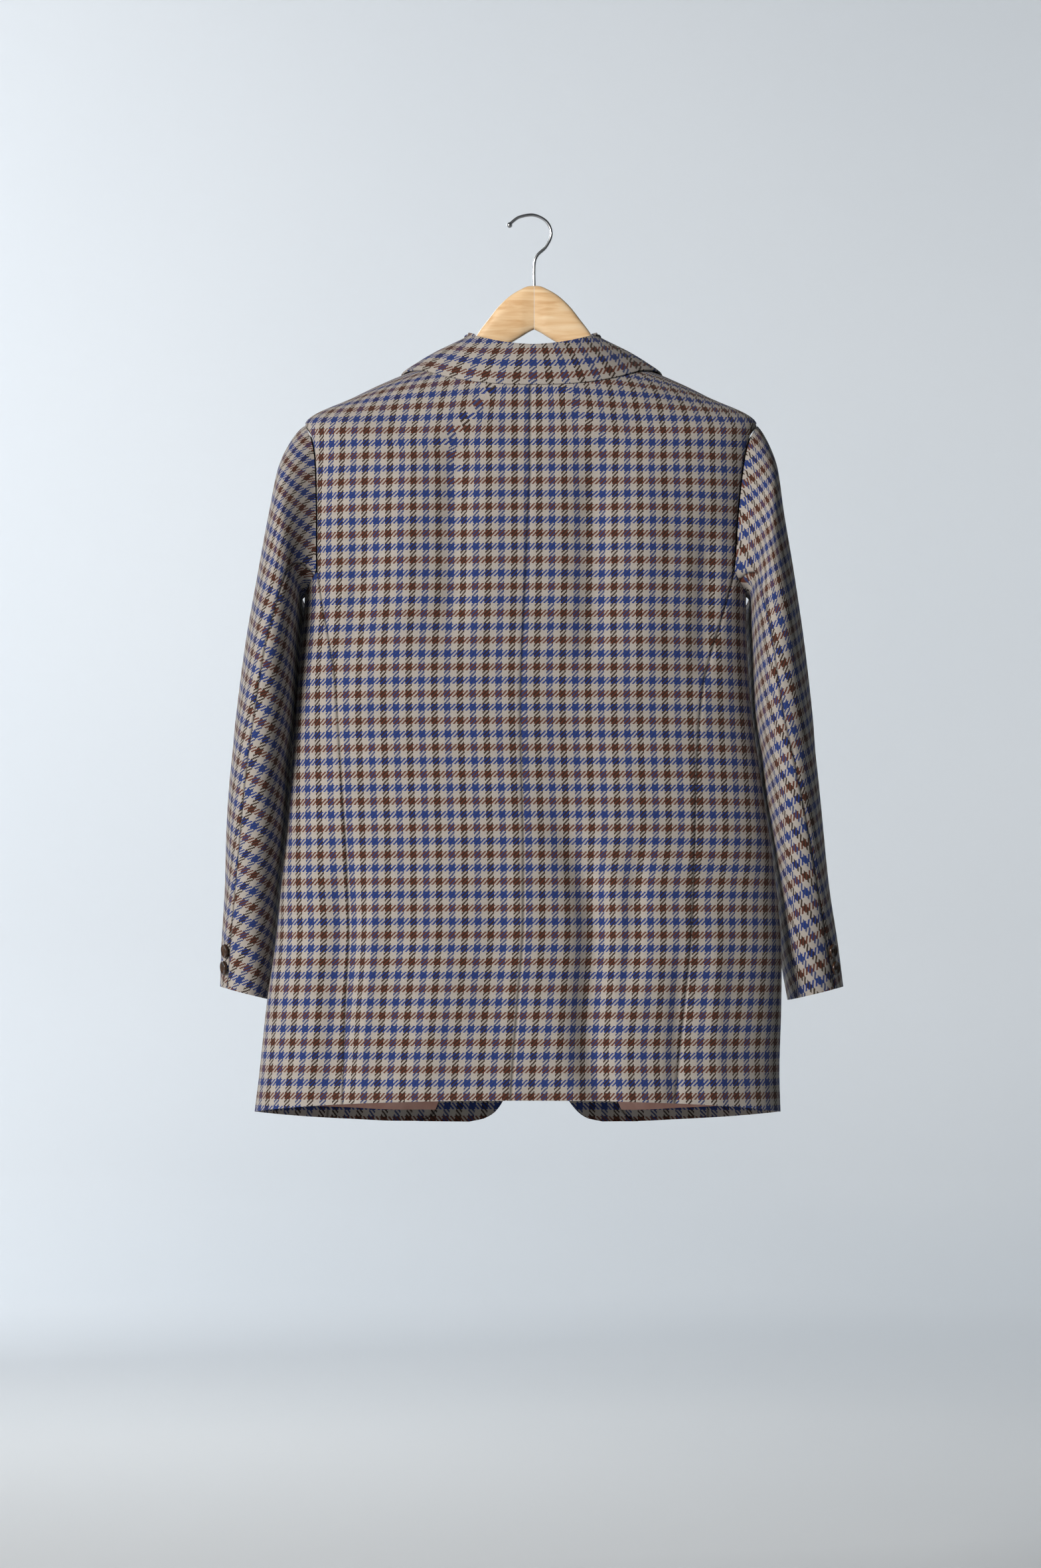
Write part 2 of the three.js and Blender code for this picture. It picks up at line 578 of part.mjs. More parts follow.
// A function from an angle about the armhole's middle to the point of its edge there.
function armholeEdge(hand) {
  const points = armholeLoop(hand);
  const box = new THREE.Box3().setFromPoints(points);
  const middle = box.getCenter(new THREE.Vector3());
  const size = box.getSize(new THREE.Vector3());
  const angleOf = (p) => turn(Math.atan2((p.z - middle.z) / size.z, (p.y - middle.y) / size.y) / DEGREE);
  const sorted = points.map((point) => ({ point, angle: angleOf(point) }));
  sorted.sort((a, b) => a.angle - b.angle);
  return (angle) => {
    const wanted = turn(angle);
    const next = sorted.findIndex((entry) => entry.angle > wanted);
    const high = sorted[next < 0 ? 0 : next];
    const low = sorted[(next <= 0 ? sorted.length : next) - 1];
    const share = turn(wanted - low.angle) / turn(high.angle - low.angle);
    return low.point.clone().lerp(high.point, share);
  };
}

const armhole = { 1: armholeEdge(1), [-1]: armholeEdge(-1) };

const PRESS = 10; // the sleeve closes on the body by this much, round an angle in front
const PRESS_ANGLE = 238;
const PRESS_SPREAD = 24;

// The outer face of a sleeve. angle runs from the back (0) over the outside (90) to the front
// (180) and the body side (270); ring counts down the rows of SLEEVE_RINGS.
function sleevePoint(angle, row, hand) {
  const outX = hand * (hand > 0 ? sleeveRing.outL(row) : sleeveRing.outR(row));
  const inX = hand * (hand > 0 ? sleeveRing.inL(row) : sleeveRing.inR(row));
  const out = new THREE.Vector3(outX, 0, sleeveRing.zOut(row));
  const inside = new THREE.Vector3(inX, 0, sleeveRing.zIn(row));
  const power = 2 / SQUARE_SLEEVE;
  const sine = Math.sin(angle * DEGREE);
  const cosine = Math.cos(angle * DEGREE);
  const across = Math.sign(sine) * Math.abs(sine) ** power;
  const deep = Math.sign(cosine) * Math.abs(cosine) ** power;
  const point = inside.lerp(out, 0.5 + across / 2);
  const pressed = PRESS * Math.exp(-(((angle - PRESS_ANGLE) / PRESS_SPREAD) ** 2));
  point.x -= hand * pressed * smooth((row - 2) / 2) * smooth((10 - row) / 2);
  point.y = sleeveRing.y(row) + sleeveRing.reach(row) * deep;
  if (row >= 2) return point;
  const start = armhole[hand](angle).add(new THREE.Vector3(hand * LOOP_CLEAR, 0, 0));
  return start.lerp(point, smooth(row / 2));
}

const SLEEVE_LEVELS = [0, 0.6, 1.3, 2, 2.7, 3.4, 4.2, 5, 6, 7, 8, 9, 10, 11];
const TOP_COLUMNS = 12;
const UNDER_COLUMNS = 8;

function sleeveNormal(angle, row, hand) {
  const low = Math.max(row - 0.02, 0);
  const high = Math.min(row + 0.02, SLEEVE_RINGS.length - 1);
  const round = sleevePoint(angle + 0.5, row, hand).sub(sleevePoint(angle - 0.5, row, hand));
  const down = sleevePoint(angle, high, hand).sub(sleevePoint(angle, low, hand));
  return round.cross(down).multiplyScalar(hand).normalize();
}

function sleevePiece(columns, fromAngle, toAngle, hand) {
  const outer = [];
  const inner = [];
  for (const level of [...SLEEVE_LEVELS].reverse()) {
    const outerLine = [];
    const innerLine = [];
    for (let column = 0; column < columns; column += 1) {
      const angle = mix(fromAngle(level), toAngle(level), column / (columns - 1));
      const face = sleevePoint(angle, level, hand);
      outerLine.push(face);
      innerLine.push(face.clone().addScaledVector(sleeveNormal(angle, level, hand), -TWEED));
    }
    outer.push(outerLine);
    inner.push(innerLine);
  }
  drawIn(outer);
  drawIn(inner);
  return hand > 0 ? wallGeometry(outer, inner) : wallGeometry(inner, outer);
}

for (const { side, hand } of HANDS) {
  const hindarm = hand > 0 ? sleeveRing.hindL : sleeveRing.hindR;
  const forearm = () => FOREARM_SEAM;
  const hindarmAgain = (row) => hindarm(row) + 360;
  add(jacket, `sleeve_top_${side}`, sleevePiece(TOP_COLUMNS, hindarm, forearm, hand), tweed());
  add(jacket, `sleeve_under_${side}`, sleevePiece(UNDER_COLUMNS, forearm, hindarmAgain, hand), tweed());
}

// ---- Pocket flaps ------------------------------------------------------------------------------

const FLAP_GRID = { rows: 4, columns: 9 };
const FLAP_CORNERS = { front: 92, side: 196, atFront: 0.345, atSide: 0.315, drop: 0.068 };

for (const { side, hand } of HANDS) {
  const flapSpot = (row, column) => {
    const across = column / (FLAP_GRID.columns - 1);
    const up = row / (FLAP_GRID.rows - 1);
    const top = mix(FLAP_CORNERS.atSide, FLAP_CORNERS.atFront, across);
    const at = top - FLAP_CORNERS.drop * (1 - up);
    const share = mix(FLAP_CORNERS.side, FLAP_CORNERS.front, across);
    return { angle: frontAngle(share, at), at };
  };
  const flapLift = (angle) => lapLift(angle, hand) + FLAP_LIFT + TWEED;
  const flap = bodyPiece(FLAP_GRID.rows, FLAP_GRID.columns, hand, TWEED, flapSpot, flapLift);
  add(jacket, `pocket_flap_${side}`, flap, tweed());
}

// ---- Buttons -----------------------------------------------------------------------------------

const BUTTON_SIDES = 16;

// A button with a raised rim, its foot on the XY plane.
function buttonGeometry({ radius, height }) {
  const profile = [
    [0, 0],
    [radius * 0.86, 0],
    [radius, height * 0.45],
    [radius * 0.94, height],
    [radius * 0.76, height * 0.92],
    [radius * 0.68, height * 0.66],
    [0, height * 0.6],
  ];
  const points = profile.map(([x, y]) => new THREE.Vector2(x, y));
  return new THREE.LatheGeometry(points, BUTTON_SIDES).rotateX(Math.PI / 2);
}

function addButton(name, size, place, normal) {
  const button = add(jacket, name, buttonGeometry(size), horn());
  button.position.copy(place).addScaledVector(normal, BUTTON_GAP);
  button.quaternion.setFromUnitVectors(new THREE.Vector3(0, 0, 1), normal);
}

const FRONT_BUTTON_LEVELS = [0.505, 0.385, 0.265];
FRONT_BUTTON_LEVELS.forEach((at, index) => {
  const angle = frontAngle(0, at);
  const normal = bodyNormal(angle, at, 1);
  const place = bodyPoint(angle, at, 1).addScaledVector(normal, lapLift(angle, 1));
  addButton(`button_front_${index + 1}`, FRONT_BUTTON, place, normal);
});

const CUFF_BUTTONS = [
  { row: 10.1, past: 8 },
  { row: 10.5, past: 8 },
];
for (const { side, hand } of HANDS) {
  const hindarm = hand > 0 ? sleeveRing.hindL : sleeveRing.hindR;
  CUFF_BUTTONS.forEach(({ row, past }, index) => {
    const angle = hindarm(row) + past;
    const normal = sleeveNormal(angle, row, hand);
    addButton(`button_cuff_${side}_${index + 1}`, CUFF_BUTTON, sleevePoint(angle, row, hand), normal);
  });
}

// ---- Hanger ------------------------------------------------------------------------------------

// A closed solid through rings of points, each with as many points as the others.
function loftGeometry(rings) {
  const sides = rings[0].length;
  const points = rings.flat();
  const indices = [];
  for (let ring = 0; ring < rings.length - 1; ring += 1) {
    for (let i = 0; i < sides; i += 1) {
      const a = ring * sides + i;
      const b = ring * sides + ((i + 1) % sides);
      indices.push(a, b, b + sides, a, b + sides, a + sides);
    }
  }
  const last = (rings.length - 1) * sides;
  for (let i = 1; i < sides - 1; i += 1) {
    indices.push(0, i + 1, i);
    indices.push(last, last + i, last + i + 1);
  }
  const geometry = new THREE.BufferGeometry().setFromPoints(points);
  geometry.setIndex(indices);
  geometry.computeVertexNormals();
  return geometry;
}

const ARM_SIDES = 12;
const SHOULDER_CLEAR = 0.8; // between the wood and the cloth that rests on it

// The height of the shoulder seam's inner face over the arm, the lower of the two shoulders.
function shoulderHeight(x) {
  let low = AT_TIP;
  let high = 1;
  for (let i = 0; i < 30; i += 1) {
    const at = (low + high) / 2;
    if (ring.halfWidth(at) - ring.lean(at) > x) low = at;
    else high = at;
  }
  return ring.zSide(low) - TWEED * 1.2;
}

const JOINT_HALF = 0.15; // half the glued joint between the two arms

for (const { side, hand } of HANDS) {
  const rings = HANGER_ARM.map(({ x, top, bottom, half }) => {
    const crest = x > SHOULDER_FROM ? shoulderHeight(x) - SHOULDER_CLEAR : top;
    const middle = (crest + bottom) / 2;
    const reach = (crest - bottom) / 2;
    return Array.from({ length: ARM_SIDES }, (_, i) => {
      const angle = (2 * Math.PI * i) / ARM_SIDES;
      const y = half * Math.cos(angle);
      const z = middle + reach * Math.sin(angle);
      return new THREE.Vector3(hand * Math.max(x, JOINT_HALF), y, z);
    });
  });
  const geometry = loftGeometry(hand > 0 ? rings : rings.map((points) => [...points].reverse()));
  add(hanger, `hanger_arm_${side}`, geometry, wood());
}

const WIRE_STEPS = 40;
const WIRE_SIDES = 10;
const BALL_SPAN = 2.4 * BALL_RADIUS; // length of route that the ball takes up
const stops = HOOK_ROUTE.map(([x, z]) => new THREE.Vector3(x, 0, z));
const route = new THREE.CatmullRomCurve3(stops, false, "centripetal");
const routeLength = route.getLength();
const wireEnd = 1 - BALL_SPAN / routeLength;
const wireShares = Array.from({ length: WIRE_STEPS }, (_, i) => (i / WIRE_STEPS) * wireEnd);
const ballShares = Array.from({ length: 9 }, (_, i) => 1 - (BALL_SPAN / routeLength) * (1 - i / 8));

function wireRing(share) {
  const point = route.getPointAt(share);
  const tangent = route.getTangentAt(share);
  const side = new THREE.Vector3(0, 1, 0).cross(tangent).normalize();
  const alongBall = 1 - ((1 - share) * routeLength) / BALL_SPAN;
  const bulge = BALL_RADIUS * Math.sin(Math.acos(clamp(2 * alongBall - 1, -0.98, 0.98)));
  const radius = alongBall < 0 ? WIRE_RADIUS : Math.max(alongBall < 0.5 ? WIRE_RADIUS : 0, bulge);
  return Array.from({ length: WIRE_SIDES }, (_, i) => {
    const angle = (2 * Math.PI * i) / WIRE_SIDES;
    const out = side.clone().multiplyScalar(radius * Math.cos(angle));
    return out.add(point).add(new THREE.Vector3(0, radius * Math.sin(angle), 0));
  });
}
add(hanger, "hanger_hook", loftGeometry([...wireShares, ...ballShares].map(wireRing)), chrome());

export default new THREE.Group().add(jacket, hanger);
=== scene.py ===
import math

import bmesh
import bpy
import numpy as np
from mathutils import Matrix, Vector


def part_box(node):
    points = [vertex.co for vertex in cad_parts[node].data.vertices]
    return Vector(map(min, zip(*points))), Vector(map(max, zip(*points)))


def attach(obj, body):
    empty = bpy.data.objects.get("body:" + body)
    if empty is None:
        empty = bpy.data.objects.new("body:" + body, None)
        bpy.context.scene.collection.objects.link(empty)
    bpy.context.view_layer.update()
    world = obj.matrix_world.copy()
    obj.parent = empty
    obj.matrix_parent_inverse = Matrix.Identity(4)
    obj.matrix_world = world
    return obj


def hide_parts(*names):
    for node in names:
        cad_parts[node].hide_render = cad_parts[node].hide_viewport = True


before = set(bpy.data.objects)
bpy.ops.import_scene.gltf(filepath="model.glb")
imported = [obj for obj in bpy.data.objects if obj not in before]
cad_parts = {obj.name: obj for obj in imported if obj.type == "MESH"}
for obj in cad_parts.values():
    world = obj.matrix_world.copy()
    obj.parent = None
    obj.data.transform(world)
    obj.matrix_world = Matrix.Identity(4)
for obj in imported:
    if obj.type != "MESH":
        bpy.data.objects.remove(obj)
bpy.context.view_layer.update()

MM = 0.001

# ---- Back ---------------------------------------------------------------------------------------
# Two tweed panels, joined down the centre back with a pressed seam that takes the waist in. They
# hang from the shoulder seams, so soft flutes run down from the shoulder blades and a deep fold
# swings across the right half to the hem. Tables are in millimetres in the part's own frame.

# Rings round the body from the hem (0) to the neck (1); above 0.86 they shrink up the shoulders.
BODY_RINGS = (
    "at zSide zBack zFront halfWidth back front square lean",
    (0.00, -914, -901, -927, 267, 84, 80, 2.3, 17),
    (0.05, -873, -865, -881, 264, 82, 78, 2.3, 15),
    (0.14, -806, -801, -811, 261.5, 79, 75, 2.3, 10.5),
    (0.24, -725, -723, -727, 255.5, 76, 73, 2.4, 5.5),
    (0.33, -653, -652, -654, 248, 72, 70, 2.4, 6),
    (0.40, -592, -592, -592, 241, 69, 67, 2.5, 8),
    (0.53, -488, -488, -488, 230.5, 73, 70, 2.6, 11),
    (0.65, -390, -394, -391, 225, 77, 73, 2.8, 9),
    (0.76, -302, -318, -314, 226, 76, 72, 2.8, 7),
    (0.86, -215, -246, -262, 231, 66, 66, 2.6, 3.5),
    (0.91, -185, -215, -246, 179, 61, 62, 2.5, 3),
    (0.95, -164, -191, -236, 134, 57, 58, 2.4, 2.5),
    (1.00, -141, -159, -226, 71, 51, 52, 2.2, 1.5),
)
SHOULDER_SEAM = 1000  # farther out than any ring, so the panel runs to the ring's very side
SEAMS = (
    "at centre backLeft backRight frontSide",
    (0.00, 7, 176, 158, 196),
    (0.14, 6.5, 180, 161, 194),
    (0.24, 6, 182, 164, 190),
    (0.40, 4.5, 186, 171, 182),
    (0.53, 3, 190, 181, 186),
    (0.65, 1, 208, 206, 200),
    (0.68, 0.5, 212, 211, 202),
    (0.76, 0, 214, 214, 200),
    (0.82, 0, 218, 218, 205),
    (0.845, 1, 223, 223, 216),
    (0.86, 1.5, 231, 231, 231),
    (0.86001, 1.5, SHOULDER_SEAM, SHOULDER_SEAM, SHOULDER_SEAM),
    (1.00, 2, SHOULDER_SEAM, SHOULDER_SEAM, SHOULDER_SEAM),
)
# Folds: troughs, or ridges where depth is negative. x is from the jacket's middle, + to the left.
FOLDS = (
    "face zHigh zLow xHigh xLow bow depth width",
    (1, -196, -480, 76, 72, 0, 6.5, 15),
    (1, -215, -500, -62, -71, 0, 7.5, 17),
    (1, -270, -500, 168, 170, 0, 4, 12),
    (1, -300, -500, -182, -180, 0, 4.5, 12),
    (1, -220, -490, 122, 124, 0, -2.5, 18),
    (1, -230, -520, -118, -124, 0, -2.5, 20),
    (1, -610, -965, 186, 184, 0, 10, 19),
    (1, -640, -965, 158, 161, 0, -3, 9),
    (1, -590, -965, -22, -112, -14, 15, 18),
    (1, -440, -830, -52, -48, 0, 4, 34),
    (1, -625, -840, -116, -92, 3, 5, 12),
    (1, -730, -965, -154, -160, 0, 5, 10),
    (1, -680, -965, -184, -204, 0, -3.5, 9),
    (1, -700, -965, 92, 100, 0, -2.5, 26),
    (1, -640, -900, 36, 30, 0, 2, 20),
    (-1, -722, -970, 130, 138, 6, 9, 22),
    (-1, -722, -970, -118, -142, -6, 10, 22),
    (-1, -300, -560, 150, 142, 0, 4, 15),
    (-1, -290, -580, -146, -150, 0, 4.5, 16),
    (-1, -640, -965, 172, 176, 0, -3, 12),
)
TWEED_MM = 1.6


def smooth(share):
    s = np.clip(share, 0, 1)
    return s * s * (3 - 2 * s)


def mix(a, b, share):
    return a + (b - a) * share


def curve(rows, name, key=None):
    """A smooth curve through one column of a table that never overshoots its rows."""
    names = rows[0].split()
    table = np.array(rows[1:], dtype=float)
    ys = table[:, names.index(name)]
    xs = table[:, names.index(key)] if key else np.arange(len(ys), dtype=float)
    slopes = np.diff(ys) / np.diff(xs)
    product = slopes[:-1] * slopes[1:]
    total = np.where(product > 0, slopes[:-1] + slopes[1:], 1)
    tangents = np.concatenate([slopes[:1], np.where(product > 0, 2 * product / total, 0), slopes[-1:]])

    def value(x):
        t = np.clip(x, xs[0], xs[-1])
        i = np.clip(np.searchsorted(xs, t, side="left") - 1, 0, len(xs) - 2)
        width = xs[i + 1] - xs[i]
        s = (t - xs[i]) / width
        rise = (2 * s**3 - 3 * s**2 + 1) * ys[i] + (3 * s**2 - 2 * s**3) * ys[i + 1]
        return rise + width * ((s**3 - 2 * s**2 + s) * tangents[i] + (s**3 - s**2) * tangents[i + 1])

    return value


def curves(rows, key=None):
    return {name: curve(rows, name, key) for name in rows[0].split() if name != key}


def rows_of(rows):
    """The rows of a table as dictionaries."""
    return [dict(zip(rows[0].split(), row)) for row in rows[1:]]


ring = curves(BODY_RINGS, "at")
seam = curves(SEAMS, "at")
folds = rows_of(FOLDS)


def fold_depth(is_back, x, z):
    depth = np.zeros(np.broadcast(x, z).shape)
    for fold in folds:
        share = (fold["zHigh"] - z) / (fold["zHigh"] - fold["zLow"])
        middle = mix(fold["xHigh"], fold["xLow"], share) + fold["bow"] * np.sin(2 * np.pi * share)
        fade = smooth(share * 3) * smooth((1 - share) * 3)
        here = np.where((share > 0) & (share < 1) & (is_back == (fold["face"] > 0)), fade, 0)
        depth += fold["depth"] * here * np.exp(-(((x - middle) / fold["width"]) ** 2))
    return depth


def body(angle, at, hand):
    """The body's outer face in mm: angle 0 at the centre back, pi at the centre front."""
    power = 2 / ring["square"](at)
    sine, cosine = np.sin(angle), np.cos(angle)
    across = np.sign(sine) * np.abs(sine) ** power
    deep = np.abs(cosine) ** power
    is_back = cosine > 0
    x = hand * ring["halfWidth"](at) * across
    middle = np.where(is_back, ring["zBack"](at), ring["zFront"](at))
    z = mix(ring["zSide"](at), middle, np.abs(cosine) ** 1.5)
    reach = np.where(is_back, ring["back"](at), ring["front"](at))
    folded = fold_depth(is_back, x, z) * smooth(deep * 1.6)
    y = np.where(is_back, 1, -1) * (reach * deep - folded)
    return np.stack([ring["lean"](at) + x, y, z], axis=-1)


def unit(v):
    return v / np.maximum(np.linalg.norm(v, axis=-1, keepdims=True), 1e-9)


def body_normal(angle, at, hand, step=0.002):
    low, high = np.maximum(at - step, 0), np.minimum(at + step, 1)
    around = body(angle + step, at, hand) - body(angle - step, at, hand)
    up = body(angle, high, hand) - body(angle, low, hand)
    return unit(np.cross(up, around) * np.asarray(hand)[..., None])


def back_angle(distance, at):
    share = np.clip(distance / ring["halfWidth"](at), -1, 1)
    return np.sign(share) * np.arcsin(np.abs(share) ** (ring["square"](at) / 2))


def front_angle(distance, at):
    return np.pi - back_angle(distance, at)


def round_length(angle, at, hand):
    """How far round the ring a point lies from the centre back, which is the cloth's weft way."""
    fine = np.linspace(-0.2, np.pi + 0.2, 500)
    lengths = np.empty(angle.shape)
    for row in range(angle.shape[0]):
        line = body(fine, np.full(fine.shape, at[row, 0]), hand)
        run = np.concatenate([[0], np.cumsum(np.linalg.norm(np.diff(line, axis=0), axis=-1))])
        run -= np.interp(0, fine, run)
        lengths[row] = np.interp(angle[row], fine, run)
    return hand * lengths


def side_back_angle(at, hand):
    return back_angle(seam["backLeft"](at) if hand > 0 else seam["backRight"](at), at)


def side_front_angle(at):
    return front_angle(seam["frontSide"](at), at)


def shares_across(count, rim=(0.0, 0.004, 0.009, 0.016)):
    """Shares of a panel's width, close together beside the seams."""
    inside = np.linspace(rim[-1] * 2, 1 - rim[-1] * 2, count)
    return np.concatenate([rim, inside, 1 - np.array(rim[::-1])])


def levels_up(breaks, step=0.0055):
    """Levels from one break to the next, close together beside each end."""
    low, high = breaks
    ends = np.array([0.0, 0.001, 0.0025, 0.0045])
    inside = np.linspace(low + 0.0075, high - 0.0075, int((high - low) / step))
    return np.concatenate([low + ends, inside, (high - ends)[::-1]])


def seam_dip(distance, depth=1.1, reach=1.8):
    """How far cloth turns in beside a seam, from the distance to it."""
    return -depth * np.exp(-((distance / reach) ** 2))


def from_seams(face):
    """Distances from each point of a grid to the two ends of its row."""
    return [np.linalg.norm(face - end, axis=-1) for end in (face[:, :1], face[:, -1:])]


def placed(name, data):
    """A new object of the scene, at the origin."""
    made = bpy.data.objects.new(name, data)
    bpy.context.collection.objects.link(made)
    return made


def wall_mesh(name, outer, inner, grain, hand=1):
    """A closed cloth wall between two grids of points in mm.

    grain holds three lengths in mm for each point: across the warp, up the warp, and from a seam.
    """
    rows, columns = outer.shape[:2]
    count = rows * columns
    a = np.arange(count).reshape(rows, columns)
    b = a + count
    quads = [
        np.stack([a[:-1, :-1], a[1:, :-1], a[1:, 1:], a[:-1, 1:]], -1).reshape(-1, 4),
        np.stack([b[:-1, :-1], b[:-1, 1:], b[1:, 1:], b[1:, :-1]], -1).reshape(-1, 4),
        np.stack([a[0, :-1], a[0, 1:], b[0, 1:], b[0, :-1]], -1),
        np.stack([a[-1, :-1], b[-1, :-1], b[-1, 1:], a[-1, 1:]], -1),
        np.stack([a[:-1, 0], b[:-1, 0], b[1:, 0], a[1:, 0]], -1),
        np.stack([a[:-1, -1], a[1:, -1], b[1:, -1], b[:-1, -1]], -1),
    ]
    faces = np.concatenate(quads)
    if hand < 0:
        faces = faces[:, ::-1]
    points = np.concatenate([outer.reshape(-1, 3), inner.reshape(-1, 3)]) * MM
    mesh = bpy.data.meshes.new(name)
    mesh.from_pydata(points.tolist(), [], faces.tolist())
    thread = mesh.attributes.new("grain", "FLOAT_VECTOR", "POINT")
    thread.data.foreach_set("vector", np.tile(grain.reshape(-1), 2))
    mesh.shade_smooth()
    mesh.set_sharp_from_angle(angle=math.radians(50))
    return placed(name, mesh)


def linear(colour):
    """A linear colour from an sRGB hex value."""
    values = [int(colour[i : i + 2], 16) / 255 for i in (1, 3, 5)]
    return [v / 12.92 if v <= 0.04045 else ((v + 0.055) / 1.055) ** 2.4 for v in values] + [1.0]


def node(tree, kind, settings=None, links=None):
    """Adds one node, sets its properties and sockets, and links sockets to other outputs."""
    made = tree.nodes.new(kind)
    for key, value in (settings or {}).items():
        if isinstance(key, int) or key in made.inputs:
            made.inputs[key].default_value = value
        else:
            setattr(made, key, value)
    for key, source in (links or {}).items():
        tree.links.new(source, made.inputs[key])
    return made


def new_material(name, **sockets):
    """A material with its Principled shader's uniform values set on its own sockets."""
    material = bpy.data.materials.new(name)
    material.use_nodes = True
    shader = material.node_tree.nodes["Principled BSDF"]
    for key, value in sockets.items():
        shader.inputs[key.replace("_", " ")].default_value = value
    return material, material.node_tree, shader


def noise(tree, place, output=0, **settings):
    return node(tree, "ShaderNodeTexNoise", settings, {"Vector": place}).outputs[output]


def bumped(tree, shader, height, strength, depth_mm):
    """Raises the surface where height is large, by depth_mm at most."""
    settings = {"Strength": strength, "Distance": depth_mm * MM}
    bump = node(tree, "ShaderNodeBump", settings, {"Height": height})
    tree.links.new(bump.outputs[0], shader.inputs["Normal"])


def colour_steps(tree, colours, factor, positions=None):
    """A ramp that steps or blends through sRGB colours."""
    ramp = node(tree, "ShaderNodeValToRGB", links={"Fac": factor})
    steps = ramp.color_ramp
    steps.interpolation = "LINEAR" if positions else "CONSTANT"
    spots = positions or [i / len(colours) for i in range(len(colours))]
    while len(steps.elements) < len(colours):
        steps.elements.new(0.5)
    for element, spot, colour in zip(steps.elements, spots, colours):
        element.position = spot
        element.color = linear(colour)
    return ramp.outputs["Color"]


# Wool tweed in 2/2 twill, woven as a gun-club check: bands of six threads, brown, cream, blue and
# cream along the warp, rust, cream, blue and cream across. Woollen yarn is hairy and flecked, so
# the eye sees a soft matt cloth with a faint diagonal.
THREAD_WIDE = 25.9 / 24  # mm, and so is the next
THREAD_HIGH = 26.9 / 24
WARP_START = 15  # a blue band runs down the centre back
WEFT_START = 11
WARP_BANDS = ["#30251e", "#a39e98", "#303d66", "#a39e98"]
WEFT_BANDS = ["#582f23", "#a39e98", "#1b3274", "#a39e98"]
REPEAT = 24  # threads
# How far from a seam the painted darkening reaches, in mm: pressed wool plus painted shade in the
# groove.
SEAM_SHADE_MM = 2.2


def tweed_material():
    material, tree, shader = new_material("wool_tweed_gun_club", Roughness=0.95, Sheen_Weight=0.12)
    shader.inputs["Sheen Roughness"].default_value = 0.5
    shader.inputs["Specular IOR Level"].default_value = 0.2

    def math_node(operation, *values):
        fixed = {i: v for i, v in enumerate(values) if isinstance(v, (int, float))}
        links = {i: v for i, v in enumerate(values) if i not in fixed}
        return node(tree, "ShaderNodeMath", {"operation": operation, **fixed}, links).outputs[0]

    attribute = node(tree, "ShaderNodeAttribute", {"attribute_name": "grain"}).outputs["Vector"]
    flat_only = {"operation": "MULTIPLY", 1: (1, 1, 0)}
    grain = node(tree, "ShaderNodeVectorMath", flat_only, {0: attribute}).outputs[0]
    waver = noise(tree, grain, output="Color", Scale=0.22, Detail=1.0)
    sway = {"operation": "MULTIPLY_ADD", 1: (0.9, 0.9, 0)}  # the threads run 0.9 mm off true at most
    shifted = node(tree, "ShaderNodeVectorMath", sway, {0: waver, 2: grain})
    along = node(tree, "ShaderNodeSeparateXYZ", links={0: shifted.outputs[0]})
    warp_place = math_node("DIVIDE", along.outputs["X"], THREAD_WIDE)
    weft_place = math_node("DIVIDE", along.outputs["Y"], THREAD_HIGH)
    warp_index = math_node("FLOOR", warp_place)
    weft_index = math_node("FLOOR", weft_place)

    def band(index, start):
        place = math_node("FLOORED_MODULO", math_node("ADD", index, start), REPEAT)
        return math_node("DIVIDE", place, REPEAT)

    warp = colour_steps(tree, WARP_BANDS, band(warp_index, WARP_START))
    weft = colour_steps(tree, WEFT_BANDS, band(weft_index, WEFT_START))
    step = math_node("FLOORED_MODULO", math_node("ADD", warp_index, weft_index), 4)
    warp_up = math_node("LESS_THAN", step, 1.5)
    woven = node(tree, "ShaderNodeMix", {"data_type": "RGBA"}, {0: warp_up, 6: weft, 7: warp}).outputs[2]

    # Hairs and flecks: a fine noise lightens and darkens the yarn, a coarse one shades the cloth.
    flecks = noise(tree, grain, Scale=1.3, Detail=3.0)
    patches = noise(tree, grain, Scale=0.03, Detail=2.0)
    tone = math_node("ADD", math_node("MULTIPLY", flecks, 0.5), math_node("MULTIPLY", patches, 0.22))
    tone = math_node("ADD", tone, 0.64)
    # The cloth is painted darker right beside a seam: partly the wool pressed dark and flat, partly
    # painted shade in the seam's groove.
    from_seam = node(tree, "ShaderNodeSeparateXYZ", links={0: attribute}).outputs["Z"]
    pressed = {2: SEAM_SHADE_MM, 3: 0.3, 4: 1.0}
    seam_shade = node(tree, "ShaderNodeMapRange", pressed, {0: from_seam}).outputs[0]
    tone = math_node("MULTIPLY", tone, seam_shade)
    hue = node(tree, "ShaderNodeHueSaturation", {"Saturation": 1.0}, {"Color": woven, "Value": tone})
    tree.links.new(hue.outputs[0], shader.inputs["Base Color"])

    # Each thread is a rounded rib where it lies on top.
    warp_rib = math_node("PINGPONG", warp_place, 0.5)
    weft_rib = math_node("PINGPONG", weft_place, 0.5)
    ribs = {0: warp_up, 2: weft_rib, 3: warp_rib}
    rib = node(tree, "ShaderNodeMix", {"data_type": "FLOAT"}, ribs).outputs[0]
    height = math_node("ADD", math_node("MULTIPLY", rib, 0.8), math_node("MULTIPLY", flecks, 0.9))
    bumped(tree, shader, height, 0.6, 0.35)
    return material


tweed = tweed_material()


def seat(piece, slot, *nodes):
    """Puts a piece on the root body, in the place of the plain solids it stands for."""
    if nodes:
        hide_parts(*nodes)
    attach(piece, "root")


def dress(piece, plain, material, slot):
    """Gives a piece its cloth and its place in the frame, in the place of its plain solid."""
    piece.data.materials.append(material)
    seat(piece, slot, plain)


